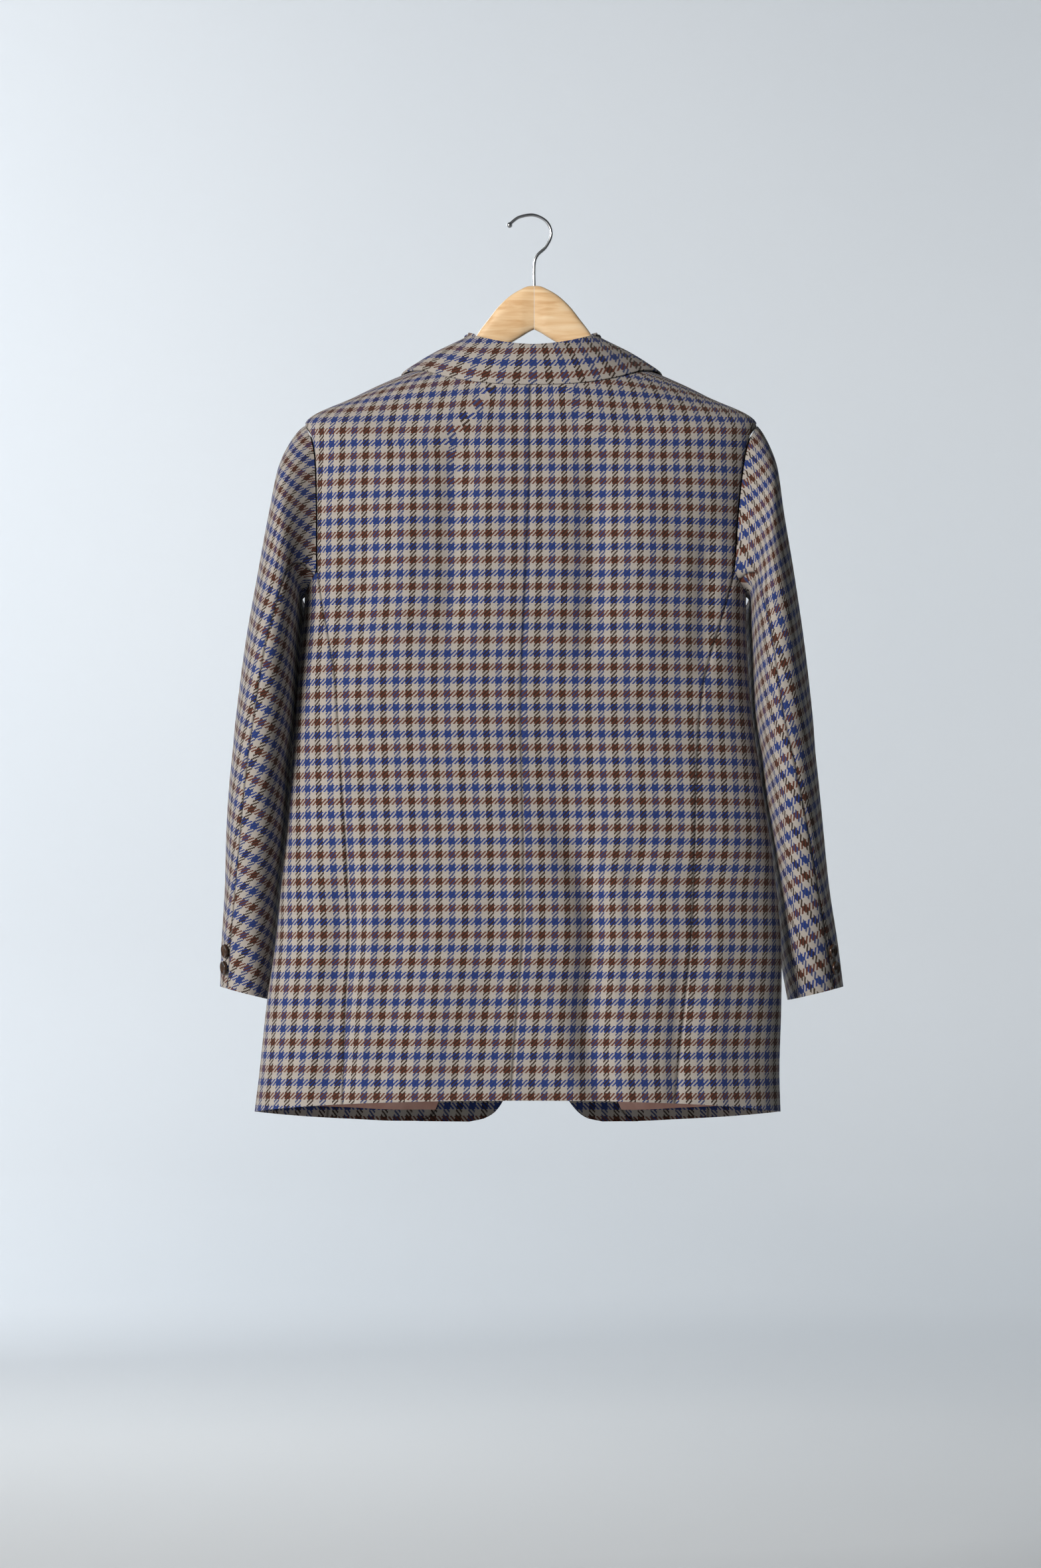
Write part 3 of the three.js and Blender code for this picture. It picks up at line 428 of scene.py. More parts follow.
def carry_grain(grain, face, normal, i, below, upright):
    """Lays row i of the grain from its neighbour, so that cloth keeps its scale on any slope."""
    step = face[i] - face[below]
    along = unit(upright - normal[i] * (normal[i] @ upright)[:, None])
    grain[i, :, 0] = grain[below, :, 0] - (np.cross(along, normal[i]) * step).sum(axis=-1)
    grain[i, :, 1] = grain[below, :, 1] + (along * step).sum(axis=-1)


def panel(name, angle, at, hand, lift, thickness=TWEED_MM, shift=0.0, dip=True):
    """A piece of the body from its grid of angles and levels, lifted off the body's face."""
    normal = body_normal(angle, at, hand)
    face = body(angle, at, hand)
    first, last = from_seams(face)
    turned = seam_dip(first) + seam_dip(last) if dip else 0.0
    outer = face + normal * (lift + turned)[..., None]
    inner = face + normal * (lift - thickness)[..., None]
    across = round_length(angle, at, hand) + shift
    grain = np.stack([across, face[..., 2], np.minimum(first, last)], axis=-1)
    for i in range(1, len(grain)):
        if at[i].min() > AT_SHOULDER:
            carry_grain(grain, face, normal, i, i - 1, np.array([0, 0, 1.0]))
    return wall_mesh(name, outer, inner, grain, hand)


AT_SHOULDER = 0.7  # above this level the cloth is laid over the shoulders
HANDS = (("left", 1), ("right", -1))

for side, hand in HANDS:
    at = levels_up((0.0, 1.0), 0.0052)[:, None] + np.zeros(80)[None]
    share = shares_across(72)[None, :]
    start = back_angle(hand * seam["centre"](at), at)
    angle = mix(start, side_back_angle(at, hand), share)
    piece = panel(f"back_{side}_tweed", angle, at, hand, np.zeros(angle.shape))
    dress(piece, f"back_{side}", tweed, "tweed")


# ---- Side panels --------------------------------------------------------------------------------
# A narrow tweed panel under each arm joins back to front. Its top is scooped out for the armhole.

AT_UNDERARM = 0.65
AT_SIDE_TOP = 0.68
AT_TIP = 0.86
SIDE_SHIFT = 7.0  # the check doesn't meet at the side seams, by this much in mm

for side, hand in HANDS:
    share = shares_across(40)[None, :]
    scoop = mix(AT_UNDERARM, AT_SIDE_TOP, (2 * share - 1) ** 2)
    level = levels_up((0.0, 1.0), 0.0078)[:, None]
    at = level * scoop
    angle = mix(side_back_angle(at, hand), side_front_angle(at), share)
    flat = np.zeros(angle.shape)
    piece = panel(f"side_{side}_tweed", angle, at, hand, flat, shift=SIDE_SHIFT)
    dress(piece, f"side_{side}", tweed, "tweed")

# ---- Fronts and facings -------------------------------------------------------------------------
# Each front runs from the side seam to a rounded, cut-away edge. The left one laps over the right
# and both turn back above the top button along the roll line. A tweed facing backs each edge.

FRONT_EDGE = (
    "at left right",
    (0.000, 50, 88),
    (0.004, 34, 72),
    (0.013, 22, 60),
    (0.030, 13, 48),
    (0.060, 4, 33),
    (0.100, -6, 14),
    (0.150, -14, -5),
    (0.200, -19, -16),
    (0.240, -20, -20),
    (0.530, -20, -20),
    (0.590, -9, -9),
    (0.650, 4, 4),
    (0.760, 26, 26),
    (0.860, 40, 40),
    (0.910, 45, 45),
    (0.950, 49, 49),
    (0.975, 55, 55),
    (1.000, 62, 62),
)
front_edge = curves(FRONT_EDGE, "at")
AT_BREAK = 0.53
FACING_FROM = 0.7  # share of the front's width where the facing begins
FACING_MM = TWEED_MM * 0.75
LAYER_GAP = 0.4
LAP_STEP = 4.2  # the left front lies this far outside the right one where they lap


def lap_lift(angle, hand):
    return LAP_STEP * smooth((np.degrees(angle) - 150) / 20) if hand > 0 else np.zeros(angle.shape)


def edge_place(at, hand):
    return front_edge["left" if hand > 0 else "right"](at)


def edge_angle(at, hand):
    return front_angle(edge_place(at, hand), at)


for side, hand in HANDS:
    corner = np.array([0.0, 0.001, 0.002, 0.0035, 0.0055, 0.008, 0.011, 0.0145])
    level = np.concatenate([corner, levels_up((0.019, 1.0), 0.0058)])[:, None]
    share = shares_across(64)[None, :]
    at = level + 0 * share
    angle = mix(side_front_angle(at), edge_angle(at, hand), share)
    lift = lap_lift(angle, hand)
    piece = panel(f"front_{side}_tweed", angle, at, hand, lift, shift=-SIDE_SHIFT)
    dress(piece, f"front_{side}", tweed, "tweed")

    level = level[level[:, 0] <= AT_BREAK]
    share = np.linspace(FACING_FROM, 1, 22)[None, :]
    at = level + 0 * share
    angle = mix(side_front_angle(at), edge_angle(at, hand), share)
    lift = lap_lift(angle, hand) - TWEED_MM - LAYER_GAP
    piece = panel(f"facing_{side}_tweed", angle, at, hand, lift, FACING_MM, -SIDE_SHIFT, dip=False)
    dress(piece, f"facing_{side}", tweed, "tweed")

# ---- Linings ------------------------------------------------------------------------------------
# Salmon satin backs each front and side panel from the facing to the side back seam. It stops
# above the hem, where the tweed turns up, and its lower edge bags a little.

SATIN_MM = 1.0
AT_LINING_HEM = 0.013
AT_LINING_TOP = 0.59


def satin_material():
    # Acetate satin: a fine warp-faced weave, so a broad soft gloss that follows each ripple.
    material, tree, shader = new_material("acetate_satin", Roughness=0.38, Sheen_Weight=0.2)
    grain = node(tree, "ShaderNodeAttribute", {"attribute_name": "grain"}).outputs["Vector"]
    soft = noise(tree, grain, Scale=0.05, Detail=2.0)
    colour = colour_steps(tree, ["#d9a393", "#ebbdae"], soft, [0.3, 0.7])
    tree.links.new(colour, shader.inputs["Base Color"])
    weave = noise(tree, grain, Scale=2.5, Detail=1.0)
    bumped(tree, shader, weave, 0.2, 0.1)
    return material


satin = satin_material()
for side, hand in HANDS:
    level = np.linspace(AT_LINING_HEM, AT_LINING_TOP, 60)[:, None]
    across_side = np.linspace(0, 1, 24)[None, :-1]
    across_front = np.linspace(0, FACING_FROM, 34)[None, :]
    at_side = level + 0 * across_side
    at_front = level + 0 * across_front
    side_part = mix(side_back_angle(at_side, hand), side_front_angle(at_side), across_side)
    front_part = mix(side_front_angle(at_front), edge_angle(at_front, hand), across_front)
    angle = np.concatenate([side_part, front_part], axis=1)
    at = level + 0 * angle
    ripple = 0.35 * (1 + np.sin(angle * 46 + 3 * np.sin(at * 30))) * smooth((0.2 - at) / 0.2)
    lift = lap_lift(angle, hand) - TWEED_MM - LAYER_GAP - 0.2 - ripple
    piece = panel(f"lining_{side}_satin", angle, at, hand, lift, SATIN_MM, dip=False)
    dress(piece, f"lining_{side}", satin, "satin")

# ---- Lapels -------------------------------------------------------------------------------------
# The fronts turned back on themselves along the roll line, with a notch under the collar's end.

LAPEL_ROWS = (
    "share width",
    (0.0, 5),
    (0.2, 32),
    (0.45, 58),
    (0.7, 76),
    (0.9, 88),
    (1.0, 92),
)
lapel_width = curve(LAPEL_ROWS, "width", "share")
LAPEL_TOP = (0.84, 0.972)  # levels of the lapel's point and of its top at the roll line
RIGHT_LAPEL_FROM = 0.34
LAPEL_LIFT = 1.75
LAPEL_SHIFT = 11.0  # how far the lapel's check lies from the front's, in mm

for side, hand in HANDS:
    across = np.linspace(0, 1, 30)[None, :]
    share = mix(0 if hand > 0 else RIGHT_LAPEL_FROM, 1, np.linspace(0, 1, 70)[:, None])
    at = mix(AT_BREAK + 0.01, mix(*LAPEL_TOP, across), share)
    angle = front_angle(edge_place(at, hand) + lapel_width(share) * (1 - across), at)
    swell = 2.2 * np.sin(np.pi * across) * smooth(share * 3)  # the roll keeps the lapel off the chest
    lift = lap_lift(angle, hand) + LAPEL_LIFT + TWEED_MM + swell
    piece = panel(f"lapel_{side}_tweed", angle, at, hand, lift, shift=LAPEL_SHIFT, dip=False)
    dress(piece, f"lapel_{side}", tweed, "tweed")

# ---- Collar -------------------------------------------------------------------------------------
# One strip of tweed stands round the neck, folds over and falls to a leaf that covers the neck
# seam. Its cross-sections run from the centre back to the front end of the leaf.

COLLAR_SECTIONS = (
    "neck stand leaf leafAt raise",
    (0, 21.5, 0, 0.968, 0),
    (40, 22.5, 34, 0.9665, 0),
    (70, 21, 64, 0.965, 0.2),
    (90, 18, 90, 0.953, 1),
    (108, 12, 122, 0.932, 1.5),
    (120, 5.5, 145, 0.912, 1.5),
)
FLAP_LIFT = 1.0
FOOT_GAP = 0.95
FOLD_WIDTH = 5.6
STAND_SLOPE = 0.3
LEAF_GRAIN = 8.9  # a blue band of the weft runs just above the leaf's edge

section = curves(COLLAR_SECTIONS)
COLUMNS = 241
ROWS = 46
LEAF_ROW = 34  # the row of the leaf along which the weave is measured
steps = np.linspace(-1, 1, COLUMNS)
hands = np.where(steps < 0, -1, 1)
place = np.abs(steps) * (len(COLLAR_SECTIONS) - 2)
neck, leaf = np.radians(section["neck"](place)), np.radians(section["leaf"](place))
stand, leaf_at = section["stand"](place)[:, None], section["leafAt"](place)
top = np.ones(steps.shape)
foot = body(neck, top, hands)
rise = unit(foot - body(neck, top * 0.99, hands))
out = unit(body_normal(neck, top, hands) * (1, 1, 0))
upward = np.array([0, 0, 1.0])
leaf_lift = (FLAP_LIFT + TWEED_MM + section["raise"](place))[:, None]
leaf_edge = body(leaf, leaf_at, hands) + body_normal(leaf, leaf_at, hands) * leaf_lift
lean = -STAND_SLOPE * stand - TWEED_MM
fall = foot + out * (lean + FOLD_WIDTH) + upward * (stand - 2.5)
path = [
    foot - out * TWEED_MM + upward * FOOT_GAP + rise * FOOT_GAP,
    foot + out * lean * 0.6 + upward * stand * 0.55,
    foot + out * lean + upward * (stand - 2),
    foot + out * (lean + FOLD_WIDTH / 2) + upward * (stand + 0.4),
    fall,
    (fall + leaf_edge) / 2 + (out + upward) * 1.5,
    leaf_edge,
]


def spline(points, count):
    """Catmull-Rom through a list of equal arrays, as count arrays along the way."""
    knots = np.array([2 * points[0] - points[1], *points, 2 * points[-1] - points[-2]])
    made = []
    for t in np.linspace(0, len(points) - 1, count):
        i = min(int(t), len(points) - 2)
        f = t - i
        p0, p1, p2, p3 = knots[i : i + 4]
        square, cube = 2 * p0 - 5 * p1 + 4 * p2 - p3, 3 * p1 - p0 - 3 * p2 + p3
        made.append(0.5 * (2 * p1 + (p2 - p0) * f + square * f**2 + cube * f**3))
    return np.array(made)


def grid_normal(grid):
    return unit(np.cross(np.gradient(grid, axis=0), np.gradient(grid, axis=1)))


def run_along(grid, axis):
    """Distance along one axis of a grid of points."""
    steps = np.linalg.norm(np.diff(grid, axis=axis), axis=-1)
    start = np.zeros((1, grid.shape[1]) if axis == 0 else (grid.shape[0], 1))
    return np.concatenate([start, np.cumsum(steps, axis=axis)], axis=axis)


outer = spline(path, ROWS)
down = run_along(outer, 0)
rim = np.minimum(run_along(outer, 1), run_along(outer[:, ::-1], 1)[:, ::-1])
edge_dip = seam_dip(np.minimum(rim, down[-1] - down), 0.5, 1.2)
inward = grid_normal(outer)
outer = outer - inward * edge_dip[..., None]
inner = outer + inward * TWEED_MM
leaf_run = run_along(outer, 1)[LEAF_ROW]
across = leaf_run - leaf_run[COLUMNS // 2]
grain = np.stack(np.broadcast_arrays(across, LEAF_GRAIN + down[-1] - down, 5.0), axis=-1)
piece = wall_mesh("collar_tweed", outer, inner, grain, -1)
dress(piece, "collar", tweed, "tweed")

# ---- Sleeves ------------------------------------------------------------------------------------
# Two-piece sleeves: a wide top sleeve and a narrow under sleeve meet at the hindarm and forearm
# seams. They hang flat to the sides with the elbow pitched forward; the first ring is the armhole.

SLEEVE_RINGS = (
    "outL outR zOut inL inR zIn reach y hindL hindR",
    (237, 230, -215, 236, 219, -390, 42, 1, -42, -46),
    (250, 239, -230, 237, 219.5, -392, 54, 0, -36, -42),
    (261, 248, -258, 237.5, 220, -396, 65, -1, -28, -38),
    (271, 255, -306, 238, 220.5, -403, 76, -3, -18, -34),
    (282, 265, -368, 239, 221, -418, 84, -5, -8, -28),
    (294, 275, -435, 241, 222, -442, 87, -8, 2, -20),
    (303, 283, -500, 244, 224, -502, 83, -13, 11, -9),
    (310, 289, -565, 249, 231, -567, 79, -18, 18, 4),
    (315, 296, -630, 254, 241, -633, 74, -26, 23, 16),
    (318, 304, -693, 261, 249, -698, 67, -37, 29, 24),
    (321, 312, -745, 265, 253, -754, 61, -49, 35, 30),
    (323, 318, -787, 269, 261, -801, 57, -60, 39, 35),
)
LAST_RING = len(SLEEVE_RINGS) - 2
SQUARE_SLEEVE = 2.2
FOREARM_SEAM = 222.0
ARMHOLE_CLEAR = 0.5
PRESS = 10  # the sleeve closes on the body in front, round this angle
PRESS_ANGLE = 238
PRESS_SPREAD = 24
HEAD_RINGS = 3  # above this ring the cloth is eased over the sleeve head
SLEEVE_LEAN = 0.14  # sideways for each mm down
GRAIN_TURN = 0.27  # radians: the sleeves hang turned, so their weft drops towards the body
# Soft drag folds: angle and ring of the middle, how far each reaches, the slant, and the depth.
SLEEVE_FOLDS = (
    "angle row spread tall slant depth",
    (150, 6.6, 40, 0.35, 0.010, 3.0),
    (140, 7.5, 45, 0.30, 0.012, 3.5),
    (195, 8.2, 40, 0.30, -0.010, 3.0),
    (120, 3.6, 30, 0.50, 0.014, 2.0),
    (20, 3.2, 22, 0.60, 0.020, 2.0),
    (40, 5.2, 26, 0.90, 0.006, 1.6),
    (60, 8.6, 30, 0.70, 0.010, 1.6),
    (300, 7.0, 40, 0.35, 0.012, 2.0),
)

sleeve = curves(SLEEVE_RINGS)
sleeve_folds = rows_of(SLEEVE_FOLDS)


def armhole_edge(hand):
    """The armhole's edge as a function of the angle about its middle, in degrees."""
    up = np.linspace(AT_SIDE_TOP, AT_TIP, 90)
    share = np.linspace(0, 1, 60)
    under = mix(AT_UNDERARM, AT_SIDE_TOP, (2 * share - 1) ** 2)
    scoop = mix(side_back_angle(under, hand), side_front_angle(under), share)
    angles = [side_back_angle(up, hand), side_front_angle(up), scoop]
    points = np.concatenate([body(a, t, hand) for a, t in zip(angles, (up, up, under))])
    low, high = points.min(axis=0), points.max(axis=0)
    around = (points - (low + high) / 2) / (high - low)
    turn = np.degrees(np.arctan2(around[:, 2], around[:, 1])) % 360
    order = np.argsort(turn)
    return lambda angle: np.stack(
        [np.interp(angle % 360, turn[order], points[order, k], period=360) for k in range(3)], axis=-1
    )


armholes = {hand: armhole_edge(hand) for _, hand in HANDS}


def sleeve_face(angle, row, hand):
    """The sleeve's outer face in mm: 0 degrees at the back, 90 outside, 180 front, 270 inside."""
    sine, cosine = np.sin(np.radians(angle)), np.cos(np.radians(angle))
    across = np.sign(sine) * np.abs(sine) ** (2 / SQUARE_SLEEVE)
    deep = np.sign(cosine) * np.abs(cosine) ** (2 / SQUARE_SLEEVE)
    out_x, in_x = (sleeve["outL"], sleeve["inL"]) if hand > 0 else (sleeve["outR"], sleeve["inR"])
    share = 0.5 + across / 2
    point = np.stack(
        [
            hand * mix(in_x(row), out_x(row), share),
            sleeve["y"](row) + sleeve["reach"](row) * deep,
            mix(sleeve["zIn"](row), sleeve["zOut"](row), share),
        ],
        axis=-1,
    )
    pressed = PRESS * np.exp(-(((angle - PRESS_ANGLE) / PRESS_SPREAD) ** 2))
    point[..., 0] -= hand * (pressed * smooth((row - 2) / 2) * smooth((10 - row) / 2))
    start = armholes[hand](angle) + np.array([hand * ARMHOLE_CLEAR, 0, 0])
    return mix(start, point, smooth(row / 2)[..., None])


def sleeve_panel(name, angle, row, hand):
    face = sleeve_face(angle, row, hand)
    across = sleeve_face(angle + 0.4, row, hand) - sleeve_face(angle - 0.4, row, hand)
    low, high = np.maximum(row - 0.02, 0), np.minimum(row + 0.02, LAST_RING)
    down = sleeve_face(angle, high, hand) - sleeve_face(angle, low, hand)
    normal = unit(np.cross(across, down) * hand)
    first, last = from_seams(face)
    lift = seam_dip(first, 0.9, 1.6) + seam_dip(last, 0.9, 1.6)
    for fold in sleeve_folds:
        turned = (angle - fold["angle"] + 180) % 360 - 180
        near = np.exp(-((turned / fold["spread"]) ** 2))
        off = row - fold["row"] - fold["slant"] * turned
        lift = lift - fold["depth"] * near * np.exp(-((off / fold["tall"]) ** 2))
    outer = face + normal * lift[..., None]
    inner = face + normal * (np.minimum(lift, 0) - TWEED_MM)[..., None]
    fine = np.linspace(-90, 450, 700)
    grain = np.empty((*angle.shape, 3))
    grain[..., 1] = face[..., 2] - SLEEVE_LEAN * (hand * face[..., 0] - 260)
    for i in reversed(range(angle.shape[0])):
        if row[i, 0] < HEAD_RINGS:
            carry_grain(grain, face, normal, i, i + 1, np.array([-SLEEVE_LEAN * hand, 0, 1.0]))
            continue
        line = sleeve_face(fine, np.full(fine.shape, row[i, 0]), hand)
        run = np.concatenate([[0], np.cumsum(np.linalg.norm(np.diff(line, axis=0), axis=-1))])
        grain[i, :, 0] = hand * (np.interp(angle[i], fine, run) - np.interp(30, fine, run))
    weft, warp = hand * grain[..., 0], grain[..., 1].copy()
    grain[..., 0] = hand * (math.cos(GRAIN_TURN) * weft + math.sin(GRAIN_TURN) * warp)
    grain[..., 1] = math.cos(GRAIN_TURN) * warp - math.sin(GRAIN_TURN) * weft
    grain[..., 2] = np.minimum(first, last)
    return wall_mesh(name, outer[::-1], inner[::-1], grain[::-1], hand)


for side, hand in HANDS:
    hindarm = sleeve["hindL"] if hand > 0 else sleeve["hindR"]
    row = np.linspace(0, LAST_RING, 210)[:, None]
    for part, count in (("top", 84), ("under", 60)):
        share = shares_across(count, (0.0, 0.003, 0.007, 0.012))[None, :]
        start, end = hindarm(row), FOREARM_SEAM
        if part == "under":
            start, end = FOREARM_SEAM, hindarm(row) + 360
        angle = mix(start, end, share)
        piece = sleeve_panel(f"sleeve_{part}_{side}_tweed", angle, row + 0 * share, hand)
        dress(piece, f"sleeve_{part}_{side}", tweed, "tweed")

# ---- Pocket flaps -------------------------------------------------------------------------------
# Slanted hip flaps, as a riding jacket has, sewn into the fronts along their upper edges.

FLAP = {"front": 92, "side": 196, "atFront": 0.345, "atSide": 0.315, "drop": 0.068}

for side, hand in HANDS:
    across = np.linspace(0, 1, 60)[None, :]
    up = np.linspace(0, 1, 30)[:, None]
    at = mix(FLAP["atSide"], FLAP["atFront"], across) - FLAP["drop"] * (1 - up)
    angle = front_angle(mix(FLAP["side"], FLAP["front"], across), at)
    lift = lap_lift(angle, hand) + FLAP_LIFT + TWEED_MM + 0.6 * (1 - up)
    piece = panel(f"pocket_flap_{side}_tweed", angle, at, hand, lift, shift=4.0, dip=False)
    dress(piece, f"pocket_flap_{side}", tweed, "tweed")

# ---- Buttons ------------------------------------------------------------------------------------
# Dark horn-look buttons with a raised rim, a dished middle and four holes, sewn on with brown
# thread: three down the centre front and two at each cuff.

BUTTON_PROFILE = (
    "out up",
    (0.0, 0.0),
    (0.80, 0.0),
    (0.94, 0.16),
    (1.0, 0.45),
    (0.985, 0.80),
    (0.93, 0.97),
    (0.86, 1.0),
    (0.79, 0.93),
    (0.72, 0.72),
    (0.55, 0.60),
    (0.0, 0.54),
)


def horn_material():
    # Polished horn-look polyester: brown and black streaks under a hard clear surface.
    material, tree, shader = new_material("polished_horn_polyester", Roughness=0.28)
    place = node(tree, "ShaderNodeTexCoord").outputs["Object"]
    streaks = noise(tree, place, Scale=210.0, Detail=3.0, Distortion=1.4)
    colour = colour_steps(tree, ["#1c120c", "#3d281a", "#6a4a30"], streaks, [0.35, 0.55, 0.78])
    tree.links.new(colour, shader.inputs["Base Color"])
    return material


def thread_material():
    material, tree, shader = new_material("buttonhole_twist", Roughness=0.7)
    place = node(tree, "ShaderNodeTexCoord").outputs["Object"]
    ply = noise(tree, place, Scale=2500.0)
    colour = colour_steps(tree, ["#3a2c22", "#5b483a"], ply, [0.4, 0.6])
    tree.links.new(colour, shader.inputs["Base Color"])
    return material


horn = horn_material()
thread = thread_material()


HOLE_OUT = 0.24  # how far each hole lies from the middle, both ways, as a share of the radius
HOLE_RADIUS = 0.13
TWIST_RADIUS_MM = 0.42


def mesh_from(name, bm):
    """Turns a finished bmesh into a mesh."""
    mesh = bpy.data.meshes.new(name)
    bm.to_mesh(mesh)
    bm.free()
    return mesh


def evaluated(piece):
    """The piece's mesh as its modifiers or its curve make it."""
    bpy.context.view_layer.update()
    graph = bpy.context.evaluated_depsgraph_get()
    return bpy.data.meshes.new_from_object(piece.evaluated_get(graph))


def button(name, node_name, radius, height):
    """Makes a detailed button on the place of its plain solid, which lies flat along its axis."""
    low, high = (np.array(v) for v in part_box(node_name))
    points = np.array([v.co[:] for v in bpy.data.objects[node_name].data.vertices])
    middle = (low + high) / 2
    spread = np.cov((points - points.mean(axis=0)).T)
    axis = np.linalg.eigh(spread)[1][:, 0]  # the solid is thinnest this way
    outward = np.array([0, -1.0, 0] if "front" in node_name else [middle[0], 0.0, 0.0])
    axis = axis if axis @ outward > 0 else -axis
    side_way = unit(np.cross(axis, (0, 0, 1.0)))
    up_way = np.cross(side_way, axis)
    foot = middle - axis * (middle @ axis - (points @ axis).min())
    turn = np.linspace(0, 2 * np.pi, 49)[:-1]
    bm = bmesh.new()
    rings = []
    for out_share, up_share in BUTTON_PROFILE[1:]:
        r, centre = out_share * radius * MM, foot + axis * (up_share * height * MM)
        spots = [centre + side_way * r * math.cos(t) + up_way * r * math.sin(t) for t in turn]
        rings.append([bm.verts.new(spot) for spot in (spots if r else [centre])])
    for lower, upper in zip(rings, rings[1:]):
        for i in range(len(turn)):
            j = (i + 1) % len(turn)
            if len(lower) == 1:
                bm.faces.new((lower[0], upper[j], upper[i]))
            elif len(upper) == 1:
                bm.faces.new((lower[i], lower[j], upper[0]))
            else:
                bm.faces.new((lower[i], lower[j], upper[j], upper[i]))
    bmesh.ops.recalc_face_normals(bm, faces=bm.faces)
    made = placed(name, mesh_from(name, bm))
    hole_out = radius * HOLE_OUT * MM
    for a, b in [(a, b) for a in (-1, 1) for b in (-1, 1)]:
        centre = foot + (side_way * a + up_way * b) * hole_out + axis * height * 0.5 * MM
        size = {"radius": radius * HOLE_RADIUS * MM, "depth": height * 1.4 * MM}
        bpy.ops.mesh.primitive_cylinder_add(vertices=14, location=centre, **size)
        drill = bpy.context.object
        drill.rotation_mode = "QUATERNION"
        drill.rotation_quaternion = Vector(axis).to_track_quat("Z", "Y")
        cut = made.modifiers.new("hole", "BOOLEAN")
        cut.operation, cut.object, cut.solver = "DIFFERENCE", drill, "EXACT"
        drilled = evaluated(made)
        made.modifiers.clear()
        made.data = drilled
        bpy.data.objects.remove(drill)
    made.data.shade_smooth()
    made.data.set_sharp_from_angle(angle=math.radians(40))
    made.data.materials.append(horn)
    seat(made, "horn", node_name)
    # Two bars of twist join the holes in pairs over the button's face.
    lines = bpy.data.curves.new(f"{name}_twist", "CURVE")
    lines.use_fill_caps = True
    lines.dimensions, lines.bevel_depth, lines.bevel_resolution = "3D", TWIST_RADIUS_MM * MM, 1
    sunk, level = axis * height * 0.2 * MM, axis * (height * 0.62 * MM)
    for a in (-1, 1):
        start = foot + (side_way * a - up_way) * hole_out
        end = foot + (side_way * a + up_way) * hole_out
        crown = (start + end) / 2 + level + axis * 0.25 * MM
        bar = [start + sunk, start + level, crown, end + level, end + sunk]
        line = lines.splines.new("NURBS")
        line.points.add(len(bar) - 1)
        for point, spot in zip(line.points, bar):
            point.co = (*spot, 1.0)
        line.use_endpoint_u, line.order_u = True, 3
    drawn = placed(f"{name}_curve", lines)
    twist = placed(f"{name}_twist", evaluated(drawn))
    bpy.data.objects.remove(drawn)
    twist.data.materials.clear()
    twist.data.materials.append(thread)
    seat(twist, "horn")


for number in (1, 2, 3):
    button(f"front_button_{number}", f"button_front_{number}", 10.0, 3.6)
for side, _ in HANDS:
    for number in (1, 2):
        button(f"cuff_button_{side}_{number}", f"button_cuff_{side}_{number}", 7.3, 3.2)

# ---- Buttonholes --------------------------------------------------------------------------------
# Three worked buttonholes in the left front, each a ring of short stitches round a slit that ends
# just past its button. One node tree lays the stitches along any guide line.


def stitch_tree():
    """Lays thread bars along a guide line, each along the guide's own "over" direction."""
    tree = bpy.data.node_groups.new("stitches", "GeometryNodeTree")
    tree.interface.new_socket("Guide", in_out="INPUT", socket_type="NodeSocketGeometry")
    for label in ("Spacing", "Length", "Thread radius"):
        tree.interface.new_socket(label, in_out="INPUT", socket_type="NodeSocketFloat")
    tree.interface.new_socket("Stitches", in_out="OUTPUT", socket_type="NodeSocketGeometry")
    start, end = node(tree, "NodeGroupInput").outputs, node(tree, "NodeGroupOutput")
    line = node(tree, "GeometryNodeMeshToCurve", links={"Mesh": start["Guide"]}).outputs[0]
    gaps = {"Curve": line, "Length": start["Spacing"]}
    even = node(tree, "GeometryNodeResampleCurve", {"mode": "LENGTH"}, gaps)
    size = {"Radius": start["Thread radius"], "Depth": start["Length"]}
    bar = node(tree, "GeometryNodeMeshCylinder", {"Vertices": 7}, size)
    named = {"data_type": "FLOAT_VECTOR", "Name": "over"}
    over = node(tree, "GeometryNodeInputNamedAttribute", named).outputs[0]
    turn = node(tree, "FunctionNodeAlignRotationToVector", {"axis": "Z"}, {"Vector": over}).outputs[0]
    uneven = {"data_type": "FLOAT", 2: 0.85, 3: 1.1, "Seed": 7}
    jitter = node(tree, "FunctionNodeRandomValue", uneven).outputs[1]
    links = {"Points": even.outputs[0], "Instance": bar.outputs[0], "Rotation": turn, "Scale": jitter}
    laid = node(tree, "GeometryNodeInstanceOnPoints", links=links).outputs[0]
    real = node(tree, "GeometryNodeRealizeInstances", links={"Geometry": laid}).outputs[0]
    coloured = node(tree, "GeometryNodeSetMaterial", {"Material": thread}, {"Geometry": real}).outputs[0]
    tree.links.new(coloured, end.inputs[0])
    return tree


def stitched(name, points, over, spacing, length, radius):
    """A piece made of stitches round a closed guide of points in mm."""
    mesh = bpy.data.meshes.new(name)
    count = len(points)
    mesh.from_pydata((points * MM).tolist(), [(i, (i + 1) % count) for i in range(count)], [])
    mesh.attributes.new("over", "FLOAT_VECTOR", "POINT").data.foreach_set("vector", over.ravel())
    piece = placed(name, mesh)
    layer = piece.modifiers.new("stitches", "NODES")
    layer.node_group = stitches
    sockets = {i.name: i.identifier for i in stitches.interface.items_tree if i.in_out == "INPUT"}
    for label, value in (("Spacing", spacing), ("Length", length), ("Thread radius", radius)):
        layer[sockets[label]] = value * MM
    piece.data = evaluated(piece)
    piece.modifiers.clear()
    return piece


